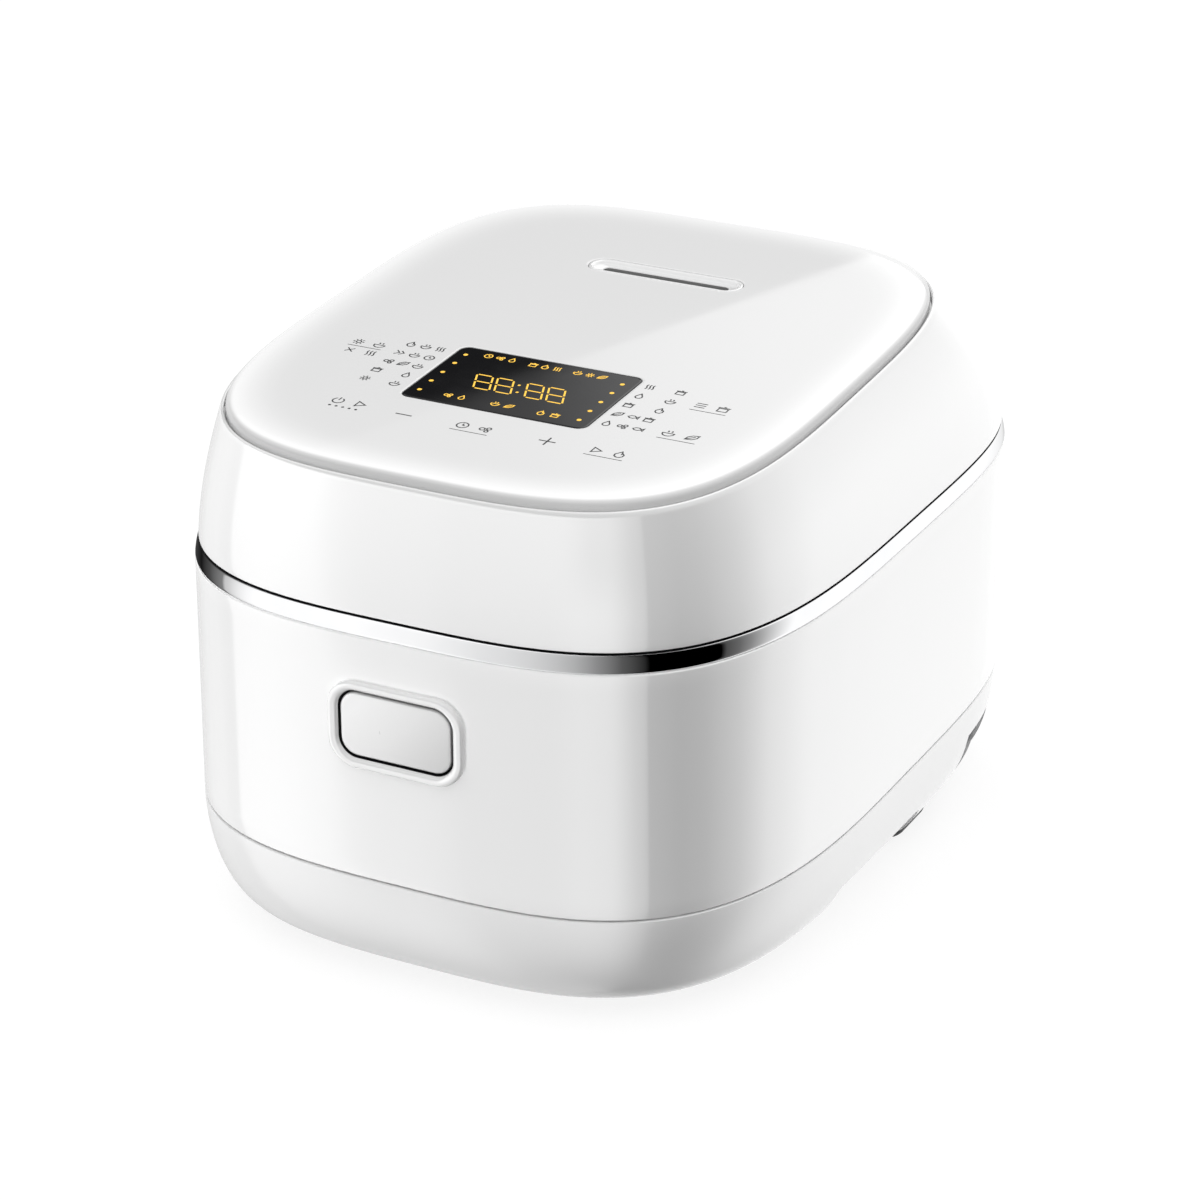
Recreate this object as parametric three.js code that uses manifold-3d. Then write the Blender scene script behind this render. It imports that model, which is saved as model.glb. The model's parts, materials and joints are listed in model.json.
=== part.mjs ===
// Family-size induction rice cooker, about 4 litres.
// Millimetres, +Z up, front faces -Y, the cooker stands on its feet at Z = 0.
import * as THREE from 'three';
import { mergeVertices } from 'three/addons/utils/BufferGeometryUtils.js';
import Module from 'manifold-3d';

const wasm = await Module();
wasm.setup();

// ---------------------------------------------------------------- dimensions
// Every horizontal section of the housing is a superellipse with its own
// half-width a, half-depth b, centre y0 and exponents for front and rear.
const SEAM = { z: 159.2, a: 132.0, b: 168.4, y0: 2.5, nf: 3.26, nb: 4.66, s: 0 };      // lid / body parting line
const BAND = { z: 151.7, a: 133.35, b: 170.2, y0: 2.5, nf: 3.26, nb: 4.66, s: 0 };     // lower edge of the bright band
const BASE = { z: 49.1, a: 134.6, b: 168.8, y0: 1.7, nf: 3.24, nb: 4.66, s: 0 };       // body / base parting line
const RIM = { z: 219.0, a: 117.6, b: 142.0, y0: -14.5, nf: 3.42, nb: 3.88, s: 0.0544 };// top edge of the lid shell
const PANEL = { z: 222.7, a: 115.3, b: 139.8, y0: -14.5, nf: 3.42, nb: 3.88, s: 0.0544 };
const FOOT_H = 7.5;            // feet stand this far below the base
const BASE_INSET = 15.2;       // how far the base curls in at the bottom
const BASE_POWER = 1.86;
const LID_POWER = 1.54;        // bulge of the lid side
const WALL = 2.6;
const GAP = 0.35;
const NR = 48;                 // points round a housing section

const POT_Y = -14;             // pot axis
const POT_R = 104;             // pot outer radius under the flange
const POT_FLANGE_R = 112;
const POT_TOP = 151.2;
const POT_BOTTOM = 37.5;
const POT_WALL = 2.0;

const HINGE_Y = 171.5, HINGE_Z = 158.9, KNUCKLE_R = 5.2, PIN_R = 2.2;
const BTN_Z = 115.2, BTN_W = 48.4, BTN_H = 27.0, BTN_R = 7.6, BTN_TRAVEL = 3.5;
const BEZEL_W = 58.4, BEZEL_H = 36.1, BEZEL_R = 12;
const LATCH_Y = -147, LATCH_Z = BTN_Z + 16;
const DISPLAY = { x: 40, y0: -91.7, y1: -39.5, r: 4 };
const VENT = { y: 59.2, hl: 35, hh: 6.9 };
const FAN = { x: -34, y: 124, size: 60, z0: 13.2, z1: 26 };
const INLET = { x0: 98, x1: 126, y0: 85.5, y1: 115.5, z0: 16.2, z1: 32.4 };
const Y_SHIFT = -3.4;          // moves the outline's centre onto the origin

// ------------------------------------------------------------------- helpers
function solidFrom(verts, tris) {
  const g = new THREE.BufferGeometry();
  g.setAttribute('position', new THREE.Float32BufferAttribute(verts, 3));
  g.setIndex(tris);
  return g;
}
// only positions, shared vertices merged, flat slivers dropped, faces outwards
function clean(g) {
  const c = g.clone();
  for (const n of Object.keys(c.attributes)) if (n !== 'position') c.deleteAttribute(n);
  const m = mergeVertices(c, 1e-4);
  const p = m.attributes.position.array, ix = m.index.array;
  const keep = [];
  for (let i = 0; i < ix.length; i += 3) {
    const [a, b, d] = [ix[i], ix[i + 1], ix[i + 2]];
    if (a !== b && b !== d && a !== d) keep.push(a, b, d);
  }
  let v6 = 0;
  for (let i = 0; i < keep.length; i += 3) {
    const a = keep[i] * 3, b = keep[i + 1] * 3, d = keep[i + 2] * 3;
    v6 += p[a] * (p[b + 1] * p[d + 2] - p[b + 2] * p[d + 1])
        - p[a + 1] * (p[b] * p[d + 2] - p[b + 2] * p[d])
        + p[a + 2] * (p[b] * p[d + 1] - p[b + 1] * p[d]);
  }
  if (v6 < 0) for (let i = 0; i < keep.length; i += 3) { const k = keep[i + 1]; keep[i + 1] = keep[i + 2]; keep[i + 2] = k; }
  m.setIndex(keep);
  return m;
}
function toSolid(g) {
  const m = clean(g);
  return new wasm.Manifold(new wasm.Mesh({ numProp: 3, vertProperties: new Float32Array(m.attributes.position.array), triVerts: new Uint32Array(m.index.array) }));
}
function fromSolid(s) {
  const m = s.getMesh();
  const g = new THREE.BufferGeometry();
  const np = m.numProp, n = m.vertProperties.length / np;
  const v = new Float32Array(n * 3);
  for (let i = 0; i < n; i++) for (let k = 0; k < 3; k++) v[3 * i + k] = m.vertProperties[np * i + k];
  g.setAttribute('position', new THREE.BufferAttribute(v, 3));
  g.setIndex(Array.from(m.triVerts));
  return g;
}
function cut(g, ...tools) { let s = toSolid(g); for (const t of tools) s = s.subtract(toSolid(t)); return fromSolid(s); }
function join(g, ...more) { let s = toSolid(g); for (const t of more) s = s.add(toSolid(t)); return fromSolid(s); }

// one ring of a housing section, offset inwards by t
function ring(p, t = 0, dz = 0, n = NR) {
  const out = [];
  for (let i = 0; i < n; i++) {
    const u = 2 * Math.PI * i / n, c = Math.cos(u), s = Math.sin(u);
    const e = s < 0 ? p.nf : p.nb;
    const r = Math.pow(Math.pow(Math.abs(c), e) + Math.pow(Math.abs(s), e), -1 / e);
    const y = p.y0 + (p.b - t) * r * s;
    out.push([(p.a - t) * r * c, y, p.z + dz + p.s * y]);
  }
  return out;
}
function mix(p, q, w, z) {
  const f = (a, b) => a + (b - a) * w;
  return { z, a: f(p.a, q.a), b: f(p.b, q.b), y0: f(p.y0, q.y0), nf: f(p.nf, q.nf), nb: f(p.nb, q.nb), s: f(p.s, q.s) };
}
// rings joined one to the next; closed as a tube wall, or capped at both ends
function loft(rings, capped) {
  const n = rings[0].length, v = [], t = [];
  rings.forEach(r => r.forEach(p => v.push(...p)));
  const m = rings.length;
  const last = capped ? m - 1 : m;
  for (let k = 0; k < last; k++) {
    const A = k * n, B = ((k + 1) % m) * n;
    for (let i = 0; i < n; i++) {
      const j = (i + 1) % n;
      t.push(A + i, A + j, B + j, A + i, B + j, B + i);
    }
  }
  if (capped) {
    for (const [k, flip] of [[0, true], [m - 1, false]]) {
      const c = [0, 0, 0];
      rings[k].forEach(p => { c[0] += p[0] / n; c[1] += p[1] / n; c[2] += p[2] / n; });
      const ci = v.length / 3; v.push(...c);
      for (let i = 0; i < n; i++) {
        const j = (i + 1) % n;
        if (flip) t.push(ci, k * n + j, k * n + i); else t.push(ci, k * n + i, k * n + j);
      }
    }
  }
  return solidFrom(v, t);
}
function box(x0, x1, y0, y1, z0, z1) {
  const g = new THREE.BoxGeometry(x1 - x0, y1 - y0, z1 - z0);
  g.translate((x0 + x1) / 2, (y0 + y1) / 2, (z0 + z1) / 2);
  return g;
}
function cyl(r, len, axis, c, seg = 24, r2 = r) {
  const g = new THREE.CylinderGeometry(r2, r, len, seg);
  if (axis === 'z') g.rotateX(Math.PI / 2);
  if (axis === 'x') g.rotateZ(-Math.PI / 2);
  g.translate(...c);
  return g;
}
// profile of [radius, z] turned about a vertical axis through (cx, cy)
function lathe(profile, seg, cx, cy) {
  const g = new THREE.LatheGeometry(profile.map(p => new THREE.Vector2(p[0], p[1])), seg);
  g.rotateX(Math.PI / 2);
  g.translate(cx, cy, 0);
  return g;
}
function rrect(w, h, r) {
  const s = new THREE.Shape();
  const x = w / 2, y = h / 2;
  s.moveTo(-x + r, -y); s.lineTo(x - r, -y); s.absarc(x - r, -y + r, r, -Math.PI / 2, 0, false);
  s.lineTo(x, y - r); s.absarc(x - r, y - r, r, 0, Math.PI / 2, false);
  s.lineTo(-x + r, y); s.absarc(-x + r, y - r, r, Math.PI / 2, Math.PI, false);
  s.lineTo(-x, -y + r); s.absarc(-x + r, -y + r, r, Math.PI, 1.5 * Math.PI, false);
  return s;
}
// a flat shape drawn in XY and raised along Z
function plateZ(shape, z0, z1, cx = 0, cy = 0, seg = 2) {
  const g = new THREE.ExtrudeGeometry(shape, { depth: z1 - z0, bevelEnabled: false, curveSegments: seg });
  g.translate(cx, cy, z0);
  return g;
}
// a flat shape drawn in XZ and carried along Y from y0 (front) to y1
function plateY(shape, y0, y1, cx, cz, seg = 3) {
  const g = new THREE.ExtrudeGeometry(shape, { depth: y1 - y0, bevelEnabled: false, curveSegments: seg });
  g.rotateX(Math.PI / 2);
  g.translate(cx, y1, cz);
  return g;
}
class Helix extends THREE.Curve {
  constructor(r, len, turns, c, axis) { super(); Object.assign(this, { r, len, turns, c, axis }); }
  getPoint(t, o = new THREE.Vector3()) {
    const a = 2 * Math.PI * this.turns * t, u = this.r * Math.cos(a), w = this.r * Math.sin(a), l = this.len * t;
    if (this.axis === 'y') return o.set(this.c[0] + u, this.c[1] + l, this.c[2] + w);
    if (this.axis === 'x') return o.set(this.c[0] + l, this.c[1] + u, this.c[2] + w);
    return o.set(this.c[0] + u, this.c[1] + w, this.c[2] + l);
  }
}
function spring(r, wire, len, turns, c, axis, steps) {
  const s = new THREE.Shape();
  s.absarc(0, 0, wire, 0, 2 * Math.PI, false);
  return new THREE.ExtrudeGeometry(s, { steps, extrudePath: new Helix(r, len, turns, c, axis), curveSegments: 3, bevelEnabled: false });
}
const MAT = {
  white: { color: 0xf1f1f0, roughness: 0.16, metalness: 0 },
  satin: { color: 0xe9eaea, roughness: 0.34, metalness: 0 },
  panel: { color: 0xf4f5f5, roughness: 0.05, metalness: 0 },
  chrome: { color: 0xe6e8ea, roughness: 0.04, metalness: 1 },
  silver: { color: 0xd4d6d8, roughness: 0.28, metalness: 0.6 },
  black: { color: 0x0a0a0b, roughness: 0.1, metalness: 0 },
  dark: { color: 0x27282a, roughness: 0.6, metalness: 0 },
  rubber: { color: 0x3a3b3d, roughness: 0.85, metalness: 0 },
  steel: { color: 0xb9bcbf, roughness: 0.3, metalness: 1 },
  alu: { color: 0xc9cccf, roughness: 0.4, metalness: 1 },
  pot: { color: 0x4a4743, roughness: 0.45, metalness: 0.5 },
  liner: { color: 0xb9bbbd, roughness: 0.5, metalness: 0 },
  seal: { color: 0xd9dbdc, roughness: 0.6, metalness: 0 },
  former: { color: 0x30302f, roughness: 0.7, metalness: 0 },
  copper: { color: 0xb06a3a, roughness: 0.4, metalness: 0.9 },
  ferrite: { color: 0x3b3c40, roughness: 0.7, metalness: 0.1 },
  pcb: { color: 0x1d5b3a, roughness: 0.5, metalness: 0 },
  brass: { color: 0xc9a24b, roughness: 0.3, metalness: 1 },
};
const cooker = new THREE.Group();
const body = new THREE.Group(), lid = new THREE.Group();
cooker.add(body, lid);
cooker.position.y = Y_SHIFT;
function add(group, name, g, mat) {
  const m = new THREE.Mesh(clean(g), new THREE.MeshStandardMaterial(MAT[mat]));
  m.name = name;
  group.add(m);
  return m;
}

// ------------------------------------------------------------- housing: base
const baseRing = (t, inset = 0) => {
  const w = BASE_INSET * (1 - Math.pow(1 - Math.pow(t, BASE_POWER), 1 / BASE_POWER));
  const z = BASE.z - 0.3 + (FOOT_H - BASE.z + 0.3) * t;
  return ring({ ...BASE, z }, w + inset);
};
const baseRings = [];
for (const t of [0.93, 0.6, 0]) baseRings.push(baseRing(t, WALL));
for (const t of [0, 0.35, 0.62, 0.82, 0.94, 1]) baseRings.push(baseRing(t, 0));
let base = loft(baseRings, true);
// hand recesses: the lower edge is cut away at 45 degrees along both sides,
// under a long flat arch; drawn as (y, z) and carried along x
const alongX = (pts, x0, x1) => {
  const g = new THREE.ExtrudeGeometry(new THREE.Shape(pts.map(([y, z]) => new THREE.Vector2(y, z))), { depth: x1 - x0, bevelEnabled: false });
  g.applyMatrix4(new THREE.Matrix4().set(0, 0, 1, 0, 1, 0, 0, 0, 0, 1, 0, 0, 0, 0, 0, 1));
  return g.translate(x0, 0, 0);
};
const alongY = (pts, y0, y1) => {
  const g = new THREE.ExtrudeGeometry(new THREE.Shape(pts.map(([x, z]) => new THREE.Vector2(x, z))), { depth: y1 - y0, bevelEnabled: false });
  g.applyMatrix4(new THREE.Matrix4().set(1, 0, 0, 0, 0, 0, -1, 0, 0, 1, 0, 0, 0, 0, 0, 1));
  return g.translate(0, y1, 0);
};
const ARCH = [[-48, FOOT_H - 1], [-46, 14], [-43.2, 19.4], [-38.8, 21.8], [-30, 21.2], [0, 19.3], [36, 18.8], [40.5, 16.5], [37, 11], [34, FOOT_H - 1]];
const ARCH_WALL = [[-52, FOOT_H], [-49.5, 15.5], [-46, 21.6], [-40, 24.6], [-30, 24], [0, 22.1], [37, 21.6], [44, 18.5], [40.5, 10], [38.5, FOOT_H]];
const recess = side => {
  const x = side > 0 ? [114, 150] : [-150, -114];
  const wedge = [[115 * side, FOOT_H - 1.4], [150 * side, FOOT_H - 1.4], [150 * side, FOOT_H + 33.6], [115 * side, FOOT_H - 0.4]];
  return toSolid(alongX(ARCH, ...x)).intersect(toSolid(alongY(side > 0 ? wedge : wedge.reverse(), -60, 60)));
};
// the moulding keeps a wall over the recess, so it stays closed
const recessRoof = side => {
  const x = side > 0 ? [110, 150] : [-150, -110];
  const wedge = [[111.2 * side, FOOT_H], [150 * side, FOOT_H], [150 * side, FOOT_H + 38.8], [111.2 * side, FOOT_H + 0.01]];
  return toSolid(alongX(ARCH_WALL, ...x)).intersect(toSolid(alongY(side > 0 ? wedge : wedge.reverse(), -60, 60)));
};
const outerBase = loft([1, 0.94, 0.82, 0.62, 0.35, 0].map(t => baseRing(t, 0)), true);
let baseSolid = toSolid(base);
for (const s of [1, -1]) baseSolid = baseSolid.add(recessRoof(s).intersect(toSolid(outerBase)));
for (const s of [1, -1]) baseSolid = baseSolid.subtract(recess(s));
// pocket for the mains inlet at the rear right corner, with its own walls
const pocketWall = box(INLET.x0 - 4, 134, INLET.y0 - 3.4, INLET.y1 + 3.4, FOOT_H + 0.5, INLET.z1 + 3.4);
baseSolid = baseSolid.add(toSolid(pocketWall).intersect(toSolid(outerBase)));
baseSolid = baseSolid.subtract(toSolid(box(INLET.x0 - GAP, 150, INLET.y0 - GAP, INLET.y1 + GAP, INLET.z0 - 1.6, INLET.z1 + GAP)));
// air intake slots under the fan
for (let i = 0; i < 6; i++) {
  const y = FAN.y - 22.5 + i * 9;
  baseSolid = baseSolid.subtract(toSolid(box(FAN.x - 22, FAN.x + 22, y - 2, y + 2, FOOT_H - 2, FOOT_H + 6)));
}
// screw and foot holes
const FEET = [[-84, -92], [84, -92], [-108.5, 58], [108.5, 58]];
const SCREWS = [[-60, -84], [60, -84], [-74, 92], [66, 92]];
for (const [x, y] of SCREWS) baseSolid = baseSolid.subtract(toSolid(cyl(3.4, 20, 'z', [x, y, FOOT_H + 6], 12)));
for (const [x, y] of FEET) baseSolid = baseSolid.subtract(toSolid(cyl(4.4, 20, 'z', [x, y, FOOT_H + 6], 12)));
add(body, 'base_shell', fromSolid(baseSolid), 'satin');

const FOOT_PAD = { hl: 20.5, hw: 10.5 };
const padRing = (inset, z, cx, cy) => {
  const r = FOOT_PAD.hw - inset, d = FOOT_PAD.hl - FOOT_PAD.hw, n = 20, out = [];
  for (let i = 0; i < n; i++) {
    const a = (2 * Math.PI * (i + 0.5)) / n;
    out.push([cx + r * Math.cos(a), cy + (Math.sin(a) > 0 ? d : -d) + r * Math.sin(a), z]);
  }
  return out;
};
FEET.forEach(([x, y], i) => {
  // long rubber pad with a rounded lower edge and a stud through the base
  const zf = FOOT_H - 0.3;
  const pad = loft([padRing(1.9, 0, x, y), padRing(0, 2, x, y), padRing(0, zf, x, y)], true);
  add(body, `foot_${i + 1}`, fromSolid(toSolid(pad).add(toSolid(cyl(4, FOOT_H + 3.5, 'z', [x, y, (FOOT_H + 4.5 + 1) / 2], 20)))), 'rubber');
});
SCREWS.forEach(([x, y], i) => {
  add(body, `base_screw_${i + 1}`, lathe([[0, FOOT_H + 0.4], [2.9, FOOT_H + 0.4], [2.9, FOOT_H + 2.2], [1.6, FOOT_H + 2.8], [1.6, FOOT_H + 14], [0, FOOT_H + 15]], 12, x, y), 'steel');
});

// ------------------------------------------------------------- housing: body
const shellTop = { ...BAND, z: BAND.z - 0.3 };
const shellBot = { ...BASE, z: BASE.z + 0.3 };
let shell = loft([ring(shellBot), ring(shellTop),
  ring(shellTop, WALL), ring(shellBot, WALL)], false);
const btnHole = plateY(rrect(BEZEL_W - 2.4, BEZEL_H - 2.4, BEZEL_R - 1.6), -180, -150, 0, BTN_Z);
const slots = [];
for (let i = 0; i < 6; i++) slots.push(box(-60 + i * 10, -56 + i * 10, 150, 190, 62, 88));
add(body, 'body_shell', cut(shell, btnHole, ...slots), 'white');

// bright band between body and lid
const bandCut = cyl(KNUCKLE_R + 0.6, 105.6, 'x', [0, HINGE_Y, HINGE_Z], 20);
const band = loft([
  ring({ ...BAND, z: BAND.z + 0.1 }, 0.1), ring(mix(BAND, SEAM, 0.45, BAND.z + 2.6), -0.25), ring({ ...SEAM, z: SEAM.z - 0.5 }, 0.1),
  ring({ ...SEAM, z: SEAM.z - 0.5 }, 2.0), ring({ ...BAND, z: BAND.z + 0.1 }, 2.6)], false);
add(body, 'chrome_band', cut(band, bandCut), 'chrome');

// deck that closes the body and carries the pot
const DECK = { z0: BAND.z - 0.6, z1: BAND.z + 2.2 };
const deckOut = { ...BAND, s: 0 };
let deck = loft([ring({ ...deckOut, z: DECK.z0 }, 3.1), ring({ ...deckOut, z: DECK.z1 }, 3.1)], true);
const collar = cyl(117, 12, 'z', [0, POT_Y, DECK.z1 - 6], 40);
deck = fromSolid(toSolid(deck).add(toSolid(collar))
  .subtract(toSolid(cyl(POT_FLANGE_R + 1.6, 20, 'z', [0, POT_Y, POT_TOP - 1.7 + 10], 40)))
  .subtract(toSolid(cyl(POT_R + 3, 40, 'z', [0, POT_Y, 150], 40)))
  .subtract(toSolid(box(-17, 17, -159.5, -141, 130, 170)))
  .subtract(toSolid(box(-53, -37, 160, 180, 130, 170)))
  .subtract(toSolid(box(37, 53, 160, 180, 130, 170)))
  .subtract(toSolid(bandCut)));
add(body, 'top_deck', deck, 'liner');

// ------------------------------------------------------------- release button
const bezelFront = -169.9, frontFace = -167.6;
let bezel = join(
  plateY(rrect(BEZEL_W - 1.4, BEZEL_H - 1.4, BEZEL_R - 0.7), bezelFront, frontFace - 1.0, 0, BTN_Z),
  plateY(rrect(BEZEL_W, BEZEL_H, BEZEL_R), frontFace - 1.4, frontFace, 0, BTN_Z),
  plateY(rrect(BEZEL_W - 3.2, BEZEL_H - 3.2, BEZEL_R - 2), frontFace - 0.4, -159, 0, BTN_Z));
bezel = cut(bezel, plateY(rrect(BTN_W + 1, BTN_H + 1, BTN_R + 0.5), -175, -150, 0, BTN_Z));
add(body, 'button_bezel', bezel, 'white');

let btn = cut(plateY(rrect(BTN_W, BTN_H, BTN_R), -168.4, -160.4, 0, BTN_Z),
  plateY(rrect(BTN_W - 4, BTN_H - 4, BTN_R - 2), -165.8, -155, 0, BTN_Z));
btn = join(btn, cyl(3.2, 14.9, 'y', [0, -158.65, BTN_Z], 12));
add(body, 'release_button', btn, 'silver');
add(body, 'button_spring', spring(5.2, 0.6, 8.6, 3, [0, -164.9, BTN_Z], 'y', 24), 'steel');

// bracket behind the button: guide for the stem, ears for the latch pin
let bracket = join(box(-24, 24, -155.3, -153.3, BTN_Z - 14, 147.5),
  box(-21.4, -18.4, -154, -141.5, LATCH_Z - 7, LATCH_Z + 7), box(18.4, 21.4, -154, -141.5, LATCH_Z - 7, LATCH_Z + 7));
bracket = cut(bracket, cyl(4, 12, 'y', [0, -154, BTN_Z], 16), cyl(1.75, 60, 'x', [0, LATCH_Y, LATCH_Z], 16), box(-16.5, 16.5, -160, -140, LATCH_Z + 1, 160));
add(body, 'latch_bracket', bracket, 'liner');
add(body, 'latch_pin', cyl(1.5, 44, 'x', [0, LATCH_Y, LATCH_Z], 16), 'steel');
let lever = join(box(-14, 14, -150.6, -146.2, BTN_Z - 7, 162.2), box(-14, 14, -150.2, -143.2, LATCH_Z - 4, LATCH_Z + 4),
  box(-14, 14, -147, -143.6, 159.6, 162.2));
lever = cut(lever, cyl(1.75, 60, 'x', [0, LATCH_Y, LATCH_Z], 16));
add(body, 'latch_lever', lever, 'silver');

// ------------------------------------------------------------- heating system
// bowl-shaped carrier under the pot
const cz = POT_BOTTOM;
add(body, 'coil_former', lathe([[24, cz - 4.2], [66, cz - 4.2], [84, cz - 1.2], [97, cz + 8], [104.6, cz + 24], [107.4, cz + 44],
  [110, cz + 44], [107.4, cz + 22.6], [99, cz + 5.8], [85.6, cz - 4.2], [67, cz - 7.2], [24, cz - 7.2], [24, cz - 4.2]], 24, 0, POT_Y), 'former');
add(body, 'heat_shield', lathe([[108, 84], [110, 84], [110, 140], [108, 140], [108, 84]], 36, 0, POT_Y), 'alu');
const coilRows = [];
const coilTop = cz - 7.6, coilBot = cz - 10.8;
coilRows.push([28, coilBot], [28, coilTop], [64, coilTop], [64, coilBot], [28, coilBot]);
add(body, 'induction_coil', lathe(coilRows, 36, 0, POT_Y), 'copper');
for (let i = 0; i < 4; i++) {
  const g = box(27, 70, -6, 6, cz - 16.4, cz - 11.2);
  g.rotateZ(Math.PI / 4 + i * Math.PI / 2);
  g.translate(0, POT_Y, 0);
  add(body, `ferrite_bar_${i + 1}`, g, 'ferrite');
}
// spring-loaded thermometer under the pot
add(body, 'sensor_holder', lathe([[13, 15], [22.6, 15], [22.6, cz - 4.6], [20.6, cz - 4.6], [20.6, 17], [13, 17], [13, 15]], 24, 0, POT_Y), 'former');
add(body, 'sensor_spring', spring(9.6, 0.7, 8.4, 3, [0, POT_Y, 18.4], 'z', 24), 'steel');
add(body, 'pot_sensor', lathe([[0, cz - 8.4], [16.5, cz - 8.4], [16.5, cz - 2], [15, cz - 0.35], [0, cz - 0.35]], 24, 0, POT_Y), 'alu');

// inner pot: flange, wall and rounded bottom
const pw = POT_WALL, pz = POT_BOTTOM, pr = POT_R;
add(body, 'inner_pot', lathe([[0, pz], [72, pz], [84, pz + 3], [94.5, pz + 11.5], [101.5, pz + 25], [pr, pz + 42], [pr, POT_TOP - 1.3],
  [POT_FLANGE_R, POT_TOP - 1.3], [POT_FLANGE_R, POT_TOP], [pr - pw, POT_TOP], [pr - pw, pz + 42.5],
  [99.6, pz + 26], [92.8, pz + 13], [83, pz + 5], [71.5, pz + pw], [0, pz + pw]], 32, 0, POT_Y), 'pot');

// ------------------------------------------------------------- electronics
add(body, 'power_board', box(-58, 62, 150.5, 152.1, 46, 140), 'pcb');
const fins = [box(-52, 4, 145.5, 150, 50, 92)];
for (let i = 0; i < 7; i++) fins.push(box(-51.5 + i * 8.6, -49.3 + i * 8.6, 128, 146.5, 50, 92));
add(body, 'heatsink', join(...fins), 'alu');
let fanFrame = cut(box(FAN.x - 30, FAN.x + 30, FAN.y - 30, FAN.y + 30, FAN.z0, FAN.z1),
  cyl(28.6, 40, 'z', [FAN.x, FAN.y, 20], 24));
fanFrame = join(fanFrame, box(FAN.x - 29.4, FAN.x + 29.4, FAN.y - 1.6, FAN.y + 1.6, FAN.z0, FAN.z0 + 1.6), box(FAN.x - 1.6, FAN.x + 1.6, FAN.y - 29.4, FAN.y + 29.4, FAN.z0, FAN.z0 + 1.6),
  cyl(9, 1.6, 'z', [FAN.x, FAN.y, FAN.z0 + 0.8], 20));
add(body, 'fan_frame', fanFrame, 'dark');
const blades = [cyl(10.5, 9, 'z', [FAN.x, FAN.y, FAN.z0 + 2.4 + 4.5], 20)];
for (let i = 0; i < 7; i++) {
  const g = box(9, 27.4, -0.6, 0.6, -3.8, 3.8);
  g.rotateX(0.62); g.rotateZ(i * 2 * Math.PI / 7);
  g.translate(FAN.x, FAN.y, FAN.z0 + 2.4 + 4.6);
  blades.push(g);
}
add(body, 'fan_rotor', join(...blades), 'dark');

// mains inlet, open to the right, with three pins
const iy = (INLET.y0 + INLET.y1) / 2, iz = (INLET.z0 + INLET.z1) / 2;
const envelope = loft([1, 0.94, 0.82, 0.62, 0.35, 0].map(t => baseRing(t, 0.8)), true);
const inletBlock = fromSolid(toSolid(box(INLET.x0, INLET.x1, INLET.y0, INLET.y1, INLET.z0, INLET.z1)).intersect(toSolid(envelope)));
const inlet = cut(inletBlock,
  box(INLET.x0 + 5, INLET.x1 + 8, INLET.y0 + 2.4, INLET.y1 - 2.4, INLET.z0 + 2.2, INLET.z1 - 2.2),
  ...[-8, 0, 8].map(d => box(INLET.x0 - 1, INLET.x0 + 8, iy + d - 1.65, iy + d + 1.65, iz - 2.35, iz + 2.35)));
add(body, 'ac_inlet', inlet, 'dark');
[-8, 0, 8].forEach((d, i) => add(body, `inlet_pin_${i + 1}`, box(INLET.x0 + 0.6, INLET.x0 + 14, iy + d - 1.2, iy + d + 1.2, iz - 2, iz + 2), 'brass'));

// ------------------------------------------------------------- hinge
const knuckle = (x0, x1) => cyl(KNUCKLE_R, x1 - x0, 'x', [(x0 + x1) / 2, HINGE_Y, HINGE_Z], 20);
const pinHole = cyl(PIN_R + 0.25, 140, 'x', [0, HINGE_Y, HINGE_Z], 16);
let hb = join(knuckle(-52, -38), knuckle(38, 52), box(-52, -38, 162.5, 168.6, 118, HINGE_Z), box(38, 52, 162.5, 168.6, 118, HINGE_Z),
  box(-52, 52, 162.5, 165, 118, 130));
add(body, 'hinge_bracket', cut(hb, pinHole), 'satin');
add(body, 'hinge_pin', cyl(PIN_R, 103, 'x', [0, HINGE_Y, HINGE_Z], 16), 'steel');
add(body, 'hinge_spring', spring(3.05, 0.4, 20, 4, [-10, HINGE_Y, HINGE_Z], 'x', 32), 'steel');

// ------------------------------------------------------------- lid
const lidRing = (t, inset = 0, dz = 0) => {
  const w = Math.pow(t, LID_POWER);
  const p = mix(SEAM, RIM, w, 0);
  p.z = SEAM.z + 0.3 + (RIM.z - SEAM.z - 0.3) * t;
  p.s = RIM.s * t;
  return ring(p, inset, dz);
};
const lidRings = [0, 0.22, 0.44, 0.66, 0.84, 1].map(t => lidRing(t));
lidRings.push(ring(RIM, 1.1, 0), ring(RIM, 1.3, -2.6), ring(RIM, 9, -2.6), ring(RIM, 9, -5), ring(RIM, 3.6, -5));
for (const t of [0.66, 0.3, 0]) lidRings.push(lidRing(t, WALL));
const lidCut = cyl(KNUCKLE_R + 0.6, 105.6, 'x', [0, HINGE_Y, HINGE_Z], 20);
add(lid, 'lid_shell', cut(loft(lidRings, false), lidCut), 'white');

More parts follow.
